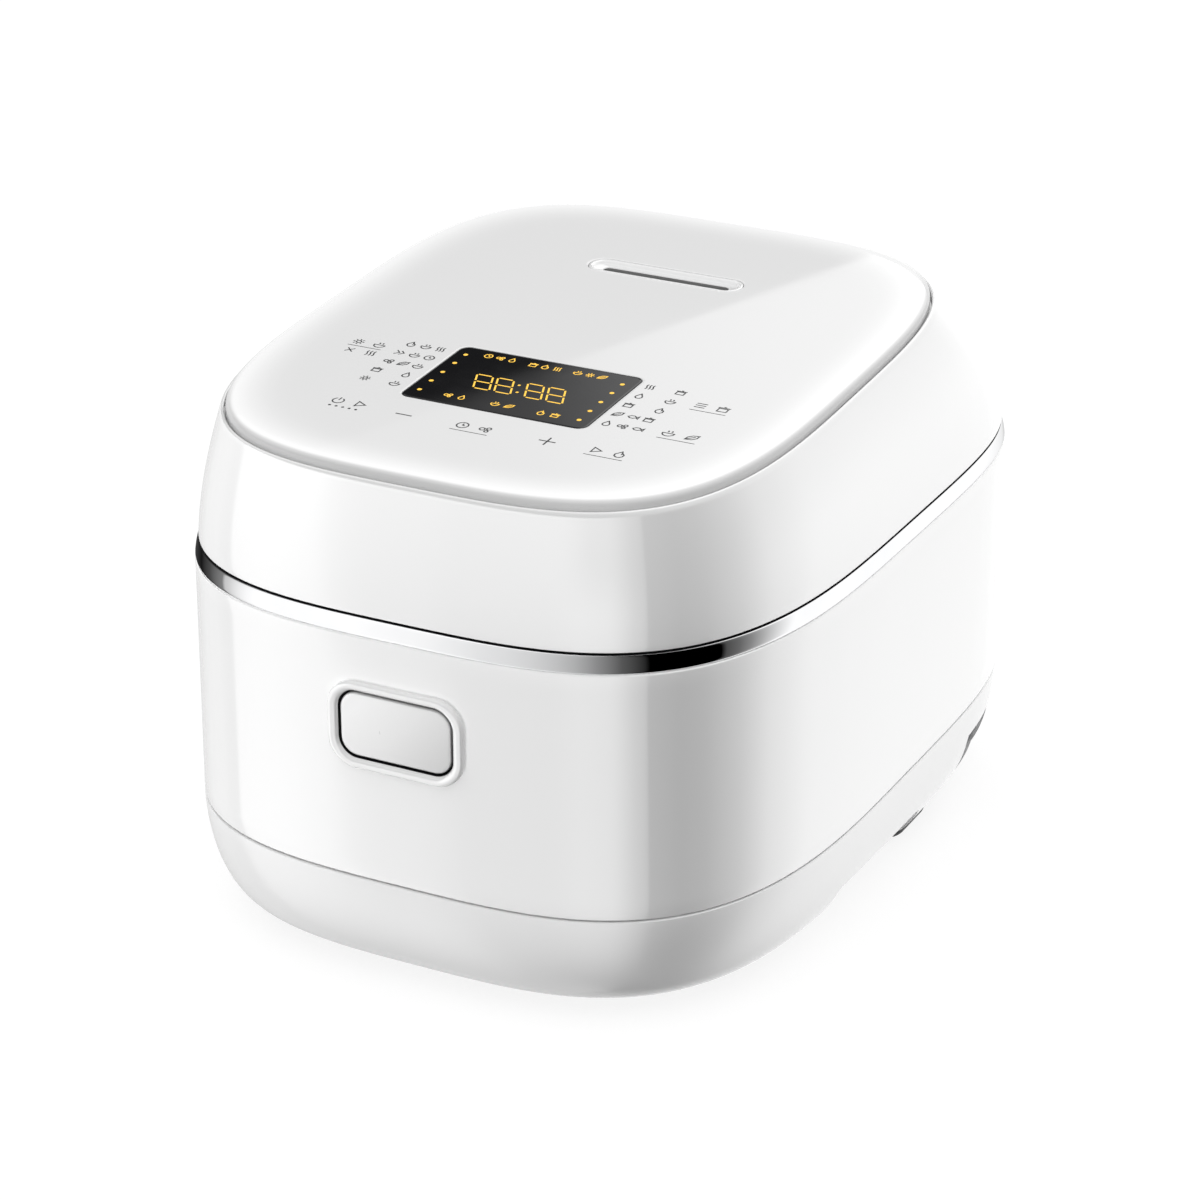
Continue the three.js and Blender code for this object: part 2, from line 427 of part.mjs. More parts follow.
// flush top panel with a rolled edge, a window for the display and an opening for the vent
const zs = p => PANEL.s * p;
let panel = loft([ring(RIM, 1.9, -2.2), ring(RIM, 1.8, 1.4), ring(PANEL, 0.9, -0.5), ring(PANEL, 2.6, 0)], true);
const tilt = (g) => {   // shear a shape drawn level so that it follows the sloping panel
  g.applyMatrix4(new THREE.Matrix4().set(1, 0, 0, 0, 0, 1, 0, 0, 0, PANEL.s, 1, 0, 0, 0, 0, 1));
  return g;
};
const dW = DISPLAY.x * 2, dH = DISPLAY.y1 - DISPLAY.y0, dY = (DISPLAY.y0 + DISPLAY.y1) / 2;
const pill = (hl, hh) => rrect(2 * hl, 2 * hh, hh - 0.01);
panel = cut(panel,
  tilt(plateZ(rrect(dW + 0.6, dH + 0.6, DISPLAY.r + 0.3), PANEL.z - 12, PANEL.z + 12, 0, dY)),
  tilt(plateZ(pill(VENT.hl, VENT.hh), PANEL.z - 12, PANEL.z + 12, 0, VENT.y, 3)));
add(lid, 'top_panel', panel, 'panel');
add(lid, 'display_window', tilt(plateZ(rrect(dW, dH, DISPLAY.r), PANEL.z - 3.2, PANEL.z, 0, dY)), 'black');
add(lid, 'display_board', tilt(plateZ(rrect(150, 70, 3), PANEL.z - 15, PANEL.z - 13.4, 0, -76)), 'pcb');
add(lid, 'display_module', tilt(plateZ(rrect(74, 46, 1), PANEL.z - 13, PANEL.z - 3.6, 0, dY)), 'dark');

// vent: fixed well, removable cap with a slot and an inner baffle
const wellTop = PANEL.z - 6.6;
let well = join(tilt(plateZ(pill(VENT.hl + 4, VENT.hh + 4), wellTop - 2, wellTop + 0.2, 0, VENT.y, 3)),
  tilt(plateZ(pill(VENT.hl + 1, VENT.hh + 1), PANEL.z - 24, wellTop, 0, VENT.y, 3)),
  cyl(9, 40, 'z', [0, VENT.y, 182], 24));
well = cut(well, tilt(plateZ(pill(VENT.hl - 0.9, VENT.hh - 0.9), PANEL.z - 22, PANEL.z + 5, 0, VENT.y, 3)), cyl(5.4, 90, 'z', [0, VENT.y, 190], 24));
add(lid, 'steam_well', well, 'liner');
let cap = tilt(plateZ(pill(VENT.hl - 0.35, VENT.hh - 0.35), PANEL.z - 5, PANEL.z - 0.1, 0, VENT.y, 3));
cap = join(cap, tilt(plateZ(pill(VENT.hl - 1.4, VENT.hh - 1.4), PANEL.z - 16, PANEL.z - 4.8, 0, VENT.y, 3)));
cap = cut(cap,
  tilt(plateZ(pill(VENT.hl - 2.2, VENT.hh - 2.2), PANEL.z - 1.5, PANEL.z + 5, 0, VENT.y, 3)),
  tilt(plateZ(pill(28.6, 2.6), PANEL.z - 8, PANEL.z + 5, 0, VENT.y - 0.2, 3)),
  tilt(plateZ(pill(VENT.hl - 2.8, VENT.hh - 2.8), PANEL.z - 14.4, PANEL.z - 4, 0, VENT.y, 3)),
  tilt(plateZ(rrect(14, 5, 1), PANEL.z - 20, PANEL.z - 12, -22, VENT.y, 1)), tilt(plateZ(rrect(14, 5, 1), PANEL.z - 20, PANEL.z - 12, 22, VENT.y, 1)));
add(lid, 'steam_cap', cap, 'white');

// underside of the lid
const LIN = SEAM.z + 0.9;
let liner = loft([ring({ ...SEAM, z: LIN }, 3.1), ring({ ...SEAM, z: LIN + 2.4 }, 5.6)], true);
liner = fromSolid(toSolid(liner)
  .add(toSolid(lathe([[94, LIN - 1.7], [98, LIN - 1.7], [98, LIN + 1], [94, LIN + 1], [94, LIN - 1.7]], 36, 0, POT_Y)))
  .subtract(toSolid(cyl(9.5, 30, 'z', [0, VENT.y, LIN], 24)))
  .subtract(toSolid(box(-18, 18, -160, -141.6, LIN - 5, LIN + 8)))
  .subtract(toSolid(box(-36.4, -11.6, 157, 175, LIN - 5, LIN + 8)))
  .subtract(toSolid(box(11.6, 36.4, 157, 175, LIN - 5, LIN + 8)))
  .subtract(toSolid(lidCut)));
add(lid, 'lid_liner', liner, 'liner');
add(lid, 'lid_heater_plate', cut(cyl(99, 1, 'z', [0, POT_Y, LIN - 2.6], 36), cyl(15, 10, 'z', [0, VENT.y, LIN - 2.6], 24)), 'alu');
const PL = LIN - 4.9;    // inner lid plate
add(lid, 'inner_lid_plate', cut(lathe([[0, PL], [104, PL], [109, PL + 0.6], [109, PL + 1.4], [103, PL + 0.8], [0, PL + 0.8]], 32, 0, POT_Y), cyl(7, 10, 'z', [0, VENT.y, PL], 20)), 'steel');
add(lid, 'lid_gasket', lathe([[98.5, PL - 0.4], [98.5, PL - 1.6], [103, PL - 2.2], [106.6, POT_TOP + 0.4], [107.6, POT_TOP + 0.8], [106.6, PL - 0.4], [98.5, PL - 0.4]], 32, 0, POT_Y), 'seal');
add(lid, 'steam_seal', lathe([[9.6, PL + 1.2], [13, PL + 1.2], [13, LIN - 0.4], [9.6, LIN - 0.4], [9.6, PL + 1.2]], 24, 0, VENT.y), 'seal');
for (const s of [-1, 1]) {
  const x0 = s * 109.4, x1 = s * 112.4;
  const clip = join(box(Math.min(x0, x1), Math.max(x0, x1), POT_Y - 9, POT_Y + 9, PL - 1.8, LIN - 0.3),
    box(Math.min(s * 107.9, x1), Math.max(s * 107.9, x1), POT_Y - 9, POT_Y + 9, PL - 1.8, PL - 0.2));
  add(lid, s < 0 ? 'plate_clip_left' : 'plate_clip_right', clip, 'liner');
}
// striker that the latch hook holds, fixed to the liner above the deck slot
add(lid, 'lid_striker', box(-12, 12, -142.9 + 1.6, -134, LIN + 2.75, LIN + 9), 'steel');
// lid half of the hinge
let lh = join(knuckle(-36, 36), box(-36, -12, 158, 168.2, LIN - 0.2, LIN + 1.8), box(12, 36, 158, 168.2, LIN - 0.2, LIN + 1.8),
  box(-36, -12, 158, 161, LIN - 0.2, LIN + 5.2), box(12, 36, 158, 161, LIN - 0.2, LIN + 5.2),
  box(-36, 36, 136, 159.5, LIN + 2.8, LIN + 5.2));
add(lid, 'lid_hinge_arm', cut(lh, pinHole, cyl(3.9, 23, 'x', [0, HINGE_Y, HINGE_Z], 16)), 'satin');

export default cooker;
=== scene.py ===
import bpy
import bmesh
import json
import math
from mathutils import Matrix, Vector


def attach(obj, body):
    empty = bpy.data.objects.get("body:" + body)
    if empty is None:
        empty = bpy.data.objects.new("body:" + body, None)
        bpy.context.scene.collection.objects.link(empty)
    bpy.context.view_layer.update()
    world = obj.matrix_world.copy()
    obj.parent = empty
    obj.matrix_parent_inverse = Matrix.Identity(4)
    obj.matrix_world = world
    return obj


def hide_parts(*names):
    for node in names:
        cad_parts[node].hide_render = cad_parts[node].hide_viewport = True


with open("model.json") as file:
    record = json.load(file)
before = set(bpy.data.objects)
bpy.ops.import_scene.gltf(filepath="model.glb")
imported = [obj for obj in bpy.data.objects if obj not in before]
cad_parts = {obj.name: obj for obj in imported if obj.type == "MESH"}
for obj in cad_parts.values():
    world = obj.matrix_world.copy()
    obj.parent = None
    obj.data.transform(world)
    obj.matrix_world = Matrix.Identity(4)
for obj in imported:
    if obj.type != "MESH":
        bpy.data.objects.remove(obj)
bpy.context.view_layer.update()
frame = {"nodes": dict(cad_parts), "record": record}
NODES = frame["nodes"]

# ------------------------------------------------------------------ dimensions
# Design millimetres, as in the CAD; Y_SHIFT carries them into the row frame.
MM = 0.001
Y_SHIFT = -3.4
SEAM = dict(z=159.2, a=132.0, b=168.4, y0=2.5, nf=3.26, nb=4.66, s=0.0)
BAND = dict(z=151.7, a=133.35, b=170.2, y0=2.5, nf=3.26, nb=4.66, s=0.0)
BASE = dict(z=49.1, a=134.6, b=168.8, y0=1.7, nf=3.24, nb=4.66, s=0.0)
RIM = dict(z=219.0, a=117.6, b=142.0, y0=-14.5, nf=3.42, nb=3.88, s=0.0544)
PANEL_Z, PANEL_S = 222.7, 0.0544
FOOT_H, BASE_INSET, BASE_POWER, LID_POWER, WALL = 7.5, 15.2, 1.86, 1.54, 2.6
POT_Y, POT_R, POT_FLANGE_R, POT_TOP, POT_BOTTOM = -14.0, 104.0, 112.0, 151.2, 37.5
HINGE_Y, HINGE_Z, KNUCKLE_R, PIN_R = 171.5, 158.9, 5.2, 2.2
BTN_Z, BTN_W, BTN_H, BTN_R = 115.2, 48.4, 27.0, 7.6
BEZEL_W, BEZEL_H, BEZEL_R = 58.4, 36.1, 12.0
DISPLAY_X, DISPLAY_Y0, DISPLAY_Y1, DISPLAY_R = 40.0, -91.7, -39.5, 4.0
VENT_Y, VENT_HL, VENT_HH = 59.2, 35.0, 6.9
INLET = dict(x0=98, x1=126, y0=85.5, y1=115.5, z0=16.2, z1=32.4)
FAN = (-34.0, 124.0)
FEET = [(-84, -92), (84, -92), (-108.5, 58), (108.5, 58)]
SCREWS = [(-60, -84), (60, -84), (-74, 92), (66, 92)]
NR = 256


# ------------------------------------------------------------------- sections
def angles(n):
    """Angles that put more points where a section turns its corners."""
    m = 4096
    pts = []
    for i in range(m + 1):
        u = 2 * math.pi * i / m
        c, s = math.cos(u), math.sin(u)
        e = 3.26 if s < 0 else 4.4
        r = (abs(c) ** e + abs(s) ** e) ** (-1 / e)
        pts.append((133 * r * c, 168 * r * s))
    cum, last = [0.0], None
    for i in range(m):
        dx, dy = pts[i + 1][0] - pts[i][0], pts[i + 1][1] - pts[i][1]
        d = math.hypot(dx, dy)
        h = math.atan2(dy, dx)
        turn = 0.0 if last is None else abs((h - last + math.pi) % (2 * math.pi) - math.pi)
        last = h
        cum.append(cum[-1] + d + 90 * turn)
    out, k = [], 0
    for j in range(n):
        t = cum[-1] * j / n
        while cum[k + 1] < t:
            k += 1
        f = (t - cum[k]) / max(cum[k + 1] - cum[k], 1e-12)
        out.append(2 * math.pi * (k + f) / m)
    return out


U = angles(NR)


def ring(p, t=0.0, dz=0.0):
    out = []
    for u in U:
        c, s = math.cos(u), math.sin(u)
        e = p["nf"] if s < 0 else p["nb"]
        r = (abs(c) ** e + abs(s) ** e) ** (-1 / e)
        y = p["y0"] + (p["b"] - t) * r * s
        out.append(((p["a"] - t) * r * c, y, p["z"] + dz + p["s"] * y))
    return out


def mix(p, q, w, z=None):
    out = {k: p[k] + (q[k] - p[k]) * w for k in p}
    if z is not None:
        out["z"] = z
    return out


def stadium(hl, hh, n=64):
    """A pill outline, half-length hl and half-height hh, going round counter-clockwise."""
    out = []
    for i in range(n):
        a = 2 * math.pi * (i + 0.5) / n
        c, s = math.cos(a), math.sin(a)
        out.append(((hl - hh if c > 0 else hh - hl) + hh * c, hh * s))
    return out


def rrect(w, h, r, k=10):
    """A rounded rectangle outline round the origin, k points for each corner's arc."""
    r = max(0.05, min(r, w / 2 - 0.01, h / 2 - 0.01))
    out = []
    for cx, cy, a0 in ((w / 2 - r, h / 2 - r, 0), (-w / 2 + r, h / 2 - r, 90), (-w / 2 + r, -h / 2 + r, 180), (w / 2 - r, -h / 2 + r, 270)):
        for i in range(k + 1):
            a = math.radians(a0 + 90 * i / k)
            out.append((cx + r * math.cos(a), cy + r * math.sin(a)))
    return out


def on_panel(x, y, h=0.0):
    return (x, y, PANEL_Z + PANEL_S * y + h)


# --------------------------------------------------------------------- meshes
def loft(rings, closed=True, caps=(False, False)):
    """Rings of equal length joined one to the next, closed back to the first or capped with an n-gon at either end."""
    n, m = len(rings[0]), len(rings)
    verts = [p for r in rings for p in r]
    faces = []
    for k in range(m if closed else m - 1):
        a, b = k * n, ((k + 1) % m) * n
        for i in range(n):
            j = (i + 1) % n
            faces.append((a + i, a + j, b + j, b + i))
    if caps[0]:
        faces.append(tuple(reversed(range(n))))
    if caps[1]:
        faces.append(tuple(range((m - 1) * n, m * n)))
    return verts, faces


def lathe(profile, seg=128, c=(0.0, 0.0)):
    """A closed [radius, z] profile turned about a vertical axis; points on the axis become one vertex."""
    verts, faces, rows = [], [], []
    for r, z in profile:
        if r < 1e-6:
            rows.append([len(verts)])
            verts.append((c[0], c[1], z))
        else:
            rows.append(list(range(len(verts), len(verts) + seg)))
            for i in range(seg):
                a = 2 * math.pi * i / seg
                verts.append((c[0] + r * math.cos(a), c[1] + r * math.sin(a), z))
    for k in range(len(rows)):
        p, q = rows[k], rows[(k + 1) % len(rows)]
        for i in range(seg):
            j = (i + 1) % seg
            if len(p) == 1 and len(q) == 1:
                continue
            if len(p) == 1:
                faces.append((p[0], q[j], q[i]))
            elif len(q) == 1:
                faces.append((p[i], p[j], q[0]))
            else:
                faces.append((p[i], p[j], q[j], q[i]))
    return verts, faces


def box(x0, x1, y0, y1, z0, z1):
    v = [(x, y, z) for z in (z0, z1) for y in (y0, y1) for x in (x0, x1)]
    return v, [(0, 2, 3, 1), (4, 5, 7, 6), (0, 1, 5, 4), (2, 6, 7, 3), (0, 4, 6, 2), (1, 3, 7, 5)]


def rod(p0, axis, r, length, seg=64, ch=0.4):
    """A turned pin with chamfered ends, starting at p0 along x, y or z."""
    prof = [(0, 0), (r - ch, 0), (r, ch), (r, length - ch), (r - ch, length), (0, length)]
    v, f = lathe(prof[:], seg)
    out = []
    for x, y, z in v:
        q = {"x": (z, x, y), "y": (y, z, x), "z": (x, y, z)}[axis]
        out.append((q[0] + p0[0], q[1] + p0[1], q[2] + p0[2]))
    return out, f


def merge(*parts):
    verts, faces = [], []
    for v, f in parts:
        n = len(verts)
        verts += list(v)
        faces += [tuple(i + n for i in g) for g in f]
    return verts, faces


def fill_plane(bm, loops, normal):
    """Triangles between an outer loop and the holes in it, all in one plane."""
    edges = []
    for lp in loops:
        for i in range(len(lp)):
            a, b = lp[i], lp[(i + 1) % len(lp)]
            e = bm.edges.get((a, b)) or bm.edges.new((a, b))
            edges.append(e)
    bmesh.ops.triangle_fill(bm, use_beauty=True, use_dissolve=False, edges=edges, normal=normal)


def raw(name, data):
    """A mesh object from design millimetres."""
    verts, faces = data
    me = bpy.data.meshes.new(name)
    me.from_pydata([(x * MM, (y + Y_SHIFT) * MM, z * MM) for x, y, z in verts], [], faces)
    ob = bpy.data.objects.new(name, me)
    bpy.context.scene.collection.objects.link(ob)
    return ob


def tidy(ob, angle=35, merge_dist=1e-6):
    bm = bmesh.new()
    bm.from_mesh(ob.data)
    bmesh.ops.remove_doubles(bm, verts=bm.verts, dist=merge_dist)
    bmesh.ops.dissolve_degenerate(bm, edges=bm.edges, dist=1e-7)
    bmesh.ops.recalc_face_normals(bm, faces=bm.faces)
    for f in bm.faces:
        f.smooth = True
    bm.to_mesh(ob.data)
    bm.free()
    ob.data.set_sharp_from_angle(angle=math.radians(angle))
    return ob


def boolean(ob, data, op="DIFFERENCE"):
    tidy(ob)
    cutter = tidy(raw("tool", data))
    m = ob.modifiers.new("b", "BOOLEAN")
    m.operation, m.solver, m.object = op, "EXACT", cutter
    bpy.context.view_layer.update()
    dg = bpy.context.evaluated_depsgraph_get()
    me = bpy.data.meshes.new_from_object(ob.evaluated_get(dg))
    ob.modifiers.clear()
    old = ob.data
    ob.data = me
    me.name = ob.name
    bpy.data.meshes.remove(old)
    bpy.data.objects.remove(cutter)
    return ob


def piece(ob, body, material, nodes=(), angle=35):
    tidy(ob, angle)
    ob.data.materials.clear()
    for m in (material if isinstance(material, (list, tuple)) else [material]):
        ob.data.materials.append(m)
    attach(ob, body)
    if nodes:
        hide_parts(*nodes)
    return ob


def soften(ob, width, seg=3, angle=30):
    m = ob.modifiers.new("edges", "BEVEL")
    m.width, m.segments, m.limit_method, m.angle_limit = width * MM, seg, "ANGLE", math.radians(angle)
    m.harden_normals = False
    return ob


# ------------------------------------------------------------------ materials
class Tree:
    def __init__(self, name):
        self.m = bpy.data.materials.new(name)
        self.m.use_nodes = True
        self.t = self.m.node_tree
        self.t.nodes.clear()
        self.out = self.add("ShaderNodeOutputMaterial")
        self.b = self.add("ShaderNodeBsdfPrincipled")
        self.link(self.b.outputs[0], self.out.inputs[0])
        self.co = self.add("ShaderNodeTexCoord").outputs["Object"]

    def add(self, kind, **props):
        n = self.t.nodes.new(kind)
        for k, v in props.items():
            setattr(n, k, v)
        return n

    def link(self, a, b):
        self.t.links.new(a, b)

    def set(self, **kw):
        names = dict(rough="Roughness", metal="Metallic", ior="IOR", spec="Specular IOR Level", coat="Coat Weight",
                     coat_rough="Coat Roughness", coat_ior="Coat IOR", base="Base Color", sss="Subsurface Weight",
                     sss_radius="Subsurface Radius", sss_scale="Subsurface Scale", emission="Emission Color",
                     strength="Emission Strength", aniso="Anisotropic", alpha="Alpha", trans="Transmission Weight",
                     sheen="Sheen Weight")
        for k, v in kw.items():
            self.b.inputs[names[k]].default_value = v
        return self

    def noise(self, scale, detail=4.0, rough=0.55, co=None, stretch=None):
        n = self.add("ShaderNodeTexNoise")
        n.inputs["Scale"].default_value = scale
        n.inputs["Detail"].default_value = detail
        n.inputs["Roughness"].default_value = rough
        src = co or self.co
        if stretch:
            mp = self.add("ShaderNodeMapping")
            mp.inputs["Scale"].default_value = stretch
            self.link(src, mp.inputs["Vector"])
            src = mp.outputs[0]
        self.link(src, n.inputs["Vector"])
        return n.outputs["Fac"]

    def ramp(self, fac, stops, interp="LINEAR"):
        r = self.add("ShaderNodeValToRGB")
        r.color_ramp.interpolation = interp
        e = r.color_ramp.elements
        while len(e) < len(stops):
            e.new(0.5)
        for i, (p, c) in enumerate(stops):
            e[i].position = p
            e[i].color = (*c, 1) if len(c) == 3 else c
        self.link(fac, r.inputs[0])
        return r.outputs[0]

    def span(self, fac, lo, hi, a, b):
        n = self.add("ShaderNodeMapRange")
        for i, v in zip((1, 2, 3, 4), (lo, hi, a, b)):
            n.inputs[i].default_value = v
        self.link(fac, n.inputs[0])
        return n.outputs[0]

    def math(self, op, a, b=None):
        n = self.add("ShaderNodeMath", operation=op)
        for i, v in enumerate((a, b)):
            if v is None:
                continue
            if isinstance(v, (int, float)):
                n.inputs[i].default_value = v
            else:
                self.link(v, n.inputs[i])
        return n.outputs[0]

    def base(self, sock):
        self.link(sock, self.b.inputs["Base Color"])

    def rough(self, sock):
        self.link(sock, self.b.inputs["Roughness"])

    def bump(self, height, dist, strength=1.0, coat=False):
        n = self.add("ShaderNodeBump")
        n.inputs["Distance"].default_value = dist
        n.inputs["Strength"].default_value = strength
        self.link(height, n.inputs["Height"])
        self.link(n.outputs[0], self.b.inputs["Normal"])
        if coat:
            self.link(n.outputs[0], self.b.inputs["Coat Normal"])


def tint(c, k):
    return tuple(min(1.0, x * k) for x in c)


def moulded(name, col, rough, grain=900.0, depth=0.00002, var=0.02, rvar=0.05, **kw):
    """Moulded plastic: faint mottling, uneven gloss and a fine grain."""
    t = Tree(name).set(rough=rough, **kw)
    t.base(t.ramp(t.noise(18.0, 3.0), [(0.1, tint(col, 1 - var)), (0.9, tint(col, 1 + var * 0.5))]))
    t.rough(t.span(t.noise(60.0, 3.0), 0.1, 0.9, max(0.01, rough - rvar), rough + rvar))
    t.bump(t.noise(grain, 2.0), depth, 0.5)
    return t


M = {}


def build_materials():
    M["white_gloss"] = moulded("white_gloss", (0.86, 0.86, 0.86), 0.12, 26.0, 0.00002, 0.006, 0.02, coat=1.0, coat_rough=0.015, coat_ior=1.8).m
    M["white_satin"] = moulded("white_satin", (0.85, 0.85, 0.85), 0.3, 1500.0, 0.000012, 0.01, 0.03, coat=0.8, coat_rough=0.16, coat_ior=1.8).m
    # glazed top panel: print behind a clear sheet; the base colour is painted brighter a little in from the rolled edge
    # and fades inward, a painted glow of light, and darker down the roll's outer side, painted shade
    t = Tree("panel_white").set(rough=0.02, ior=1.33)
    edge = t.add("ShaderNodeAttribute", attribute_name="edge").outputs["Fac"]
    wob = t.math("MULTIPLY", t.math("SUBTRACT", t.noise(14.0, 2.0), 0.5), 0.02)
    grey = lambda v: (v, v, v)
    t.base(t.ramp(t.math("ADD", edge, wob), [(0.0, grey(0.66)), (0.04, grey(0.7)), (0.075, grey(0.93)), (0.1, grey(0.975)), (0.146, grey(0.955)), (0.217, grey(0.925)), (0.288, grey(0.89)), (0.395, grey(0.85)), (0.5, grey(0.815)), (0.644, grey(0.785)), (0.82, grey(0.772)), (1.0, grey(0.77))]))
    t.rough(t.span(t.noise(40.0, 2.0), 0.1, 0.9, 0.012, 0.03))
    M["panel_white"] = t.m
    t = moulded("display_black", (0.006, 0.006, 0.007), 0.04, 40.0, 0.000005, 0.3, 0.02, ior=1.5)
    M["display_black"] = t.m
    t = Tree("chrome").set(metal=1.0, rough=0.0)
    t.base(t.ramp(t.noise(30.0, 3.0), [(0.3, (0.9, 0.905, 0.915)), (0.7, (0.95, 0.95, 0.955))]))
    M["chrome"] = t.m
    t = moulded("silver_satin", (0.74, 0.745, 0.755), 0.3, 2200.0, 0.00001, 0.02, 0.04, metal=0.15, coat=0.5, coat_rough=0.12)
    # key colour painted lighter towards the upper left and darker towards the lower right: painted shade across the key
    # face
    sp = t.add("ShaderNodeSeparateXYZ")
    t.link(t.co, sp.inputs[0])
    painted_shade_ramp = t.span(t.math("SUBTRACT", sp.outputs[0], sp.outputs[2]), -0.024 - BTN_Z * MM, 0.034 - BTN_Z * MM, 0.0, 1.0)
    t.base(t.ramp(t.math("ADD", painted_shade_ramp, t.math("MULTIPLY", t.math("SUBTRACT", t.noise(2600.0, 2.0), 0.5), 0.05)), [(0.0, (0.74, 0.74, 0.74)), (0.45, (0.62, 0.62, 0.62)), (1.0, (0.42, 0.42, 0.42))]))
    M["silver_satin"] = t.m
    M["rubber_grey"] = moulded("rubber_grey", (0.045, 0.046, 0.048), 0.75, 2500.0, 0.00006, 0.25, 0.1).m
    t = Tree("steel").set(metal=1.0, rough=0.3)
    t.base(t.ramp(t.noise(700.0, 3.0, stretch=(0.02, 1, 1)), [(0.2, (0.17, 0.172, 0.176)), (0.8, (0.24, 0.243, 0.248))]))
    t.rough(t.span(t.noise(900.0, 3.0, stretch=(0.02, 1, 1)), 0.2, 0.8, 0.3, 0.42))
    t.bump(t.noise(1600.0, 2.0, stretch=(0.015, 1, 1)), 0.00001, 0.4)
    M["steel"] = t.m
    t = Tree("aluminium").set(metal=1.0, rough=0.4)
    t.base(t.ramp(t.noise(300.0, 4.0), [(0.2, (0.2, 0.203, 0.207)), (0.8, (0.27, 0.273, 0.277))]))
    t.rough(t.span(t.noise(500.0, 3.0), 0.3, 0.7, 0.34, 0.5))
    t.bump(t.noise(2500.0, 2.0), 0.00002, 0.4)
    M["aluminium"] = t.m
    # speckled non-stick coating
    t = Tree("pot_coating").set(rough=0.4, metal=0.0, spec=0.4)
    speck = t.add("ShaderNodeTexVoronoi")
    speck.inputs["Scale"].default_value = 900.0
    t.link(t.co, speck.inputs["Vector"])
    t.base(t.ramp(speck.outputs["Distance"], [(0.0, (0.34, 0.31, 0.27)), (0.09, (0.09, 0.082, 0.074)), (0.3, (0.052, 0.048, 0.044)), (1.0, (0.04, 0.037, 0.034))]))
    t.rough(t.span(t.noise(200.0, 3.0), 0.3, 0.7, 0.32, 0.46))
    t.bump(t.noise(1400.0, 3.0), 0.00004, 0.5)
    M["pot_coating"] = t.m
    M["liner_grey"] = moulded("liner_grey", (0.5, 0.507, 0.515), 0.42, 1800.0, 0.00002, 0.03, 0.06).m
    t = moulded("seal_grey", (0.62, 0.63, 0.635), 0.5, 2000.0, 0.00002, 0.03, 0.06, sss=0.15, sss_scale=0.002)
    M["seal_grey"] = t.m
    M["black_plastic"] = moulded("black_plastic", (0.02, 0.0205, 0.022), 0.5, 1600.0, 0.00004, 0.25, 0.08).m
    t = Tree("copper_coil").set(metal=0.9, rough=0.38)
    sep = t.add("ShaderNodeSeparateXYZ")
    t.link(t.co, sep.inputs[0])
    rad = t.math("SQRT", t.math("ADD", t.math("POWER", sep.outputs[0], 2), t.math("POWER", t.math("SUBTRACT", sep.outputs[1], (POT_Y + Y_SHIFT) * MM), 2)))
    wind = t.math("SINE", t.math("MULTIPLY", rad, 2 * math.pi / 0.0024))
    # copper colour darker in the grooves between windings and lighter on each turn: painted shade and highlight,
    # besides the bump
    t.base(t.ramp(t.math("MULTIPLY_ADD", wind, 0.5), [(0.0, (0.2, 0.07, 0.03)), (1.0, (0.72, 0.3, 0.14))]))
    t.bump(wind, 0.0005, 0.8)
    M["copper_coil"] = t.m
    M["ferrite"] = moulded("ferrite", (0.05, 0.05, 0.055), 0.6, 1200.0, 0.00008, 0.3, 0.08).m
    t = Tree("pcb_green").set(rough=0.35, coat=0.4)
    br = t.add("ShaderNodeTexBrick")
    br.inputs["Scale"].default_value = 140.0
    br.inputs["Mortar Size"].default_value = 0.02
    br.inputs["Color1"].default_value = (0.012, 0.09, 0.04, 1)
    br.inputs["Color2"].default_value = (0.016, 0.12, 0.055, 1)
    br.inputs["Mortar"].default_value = (0.05, 0.22, 0.1, 1)
    t.link(t.co, br.inputs["Vector"])
    t.base(br.outputs["Color"])
    t.bump(t.noise(900.0, 2.0), 0.00003, 0.4)
    M["pcb_green"] = t.m
    t = Tree("brass_pin").set(metal=1.0, rough=0.25)
    t.base(t.ramp(t.noise(500.0, 3.0), [(0.2, (0.26, 0.19, 0.08)), (0.8, (0.36, 0.27, 0.12))]))
    t.rough(t.span(t.noise(800.0, 3.0), 0.3, 0.7, 0.2, 0.34))
    M["brass_pin"] = t.m
    # printing, lit segments
    t = Tree("print_grey").set(rough=0.35)
    t.base(t.ramp(t.noise(2500.0, 2.0), [(0.2, (0.022, 0.022, 0.023)), (0.8, (0.045, 0.045, 0.047))]))
    M["print_grey"] = t.m
    t = Tree("amber").set(base=(0.75, 0.42, 0.04, 1), rough=0.4, strength=0.55)
    col = t.ramp(t.noise(900.0, 2.0), [(0.3, (0.86, 0.53, 0.035)), (0.7, (1.0, 0.66, 0.06))])
    t.link(col, t.b.inputs["Emission Color"])
    M["amber"] = t.m
    # grey painted shade for the deep faces inside the vent cap
    M["slot_painted_shade"] = moulded("slot_painted_shade", (0.2, 0.2, 0.2), 0.5, 1500.0, 0.00002, 0.1, 0.05).m
    # near-black painted shade for the gaps at the lid seam and round the release key
    M["seam_painted_shade"] = moulded("seam_painted_shade", (0.008, 0.008, 0.009), 0.7, 1200.0, 0.00002, 0.2, 0.08, spec=0.1).m


build_materials()

# ------------------------------------------------------------------- housing
# body shell: rolled lower and upper edge, constant wall
zb, zt = BASE["z"] + 0.3, BAND["z"] - 0.3


def body_sec(z):
    return mix(BASE, BAND, (z - zb) / (zt - zb), z)


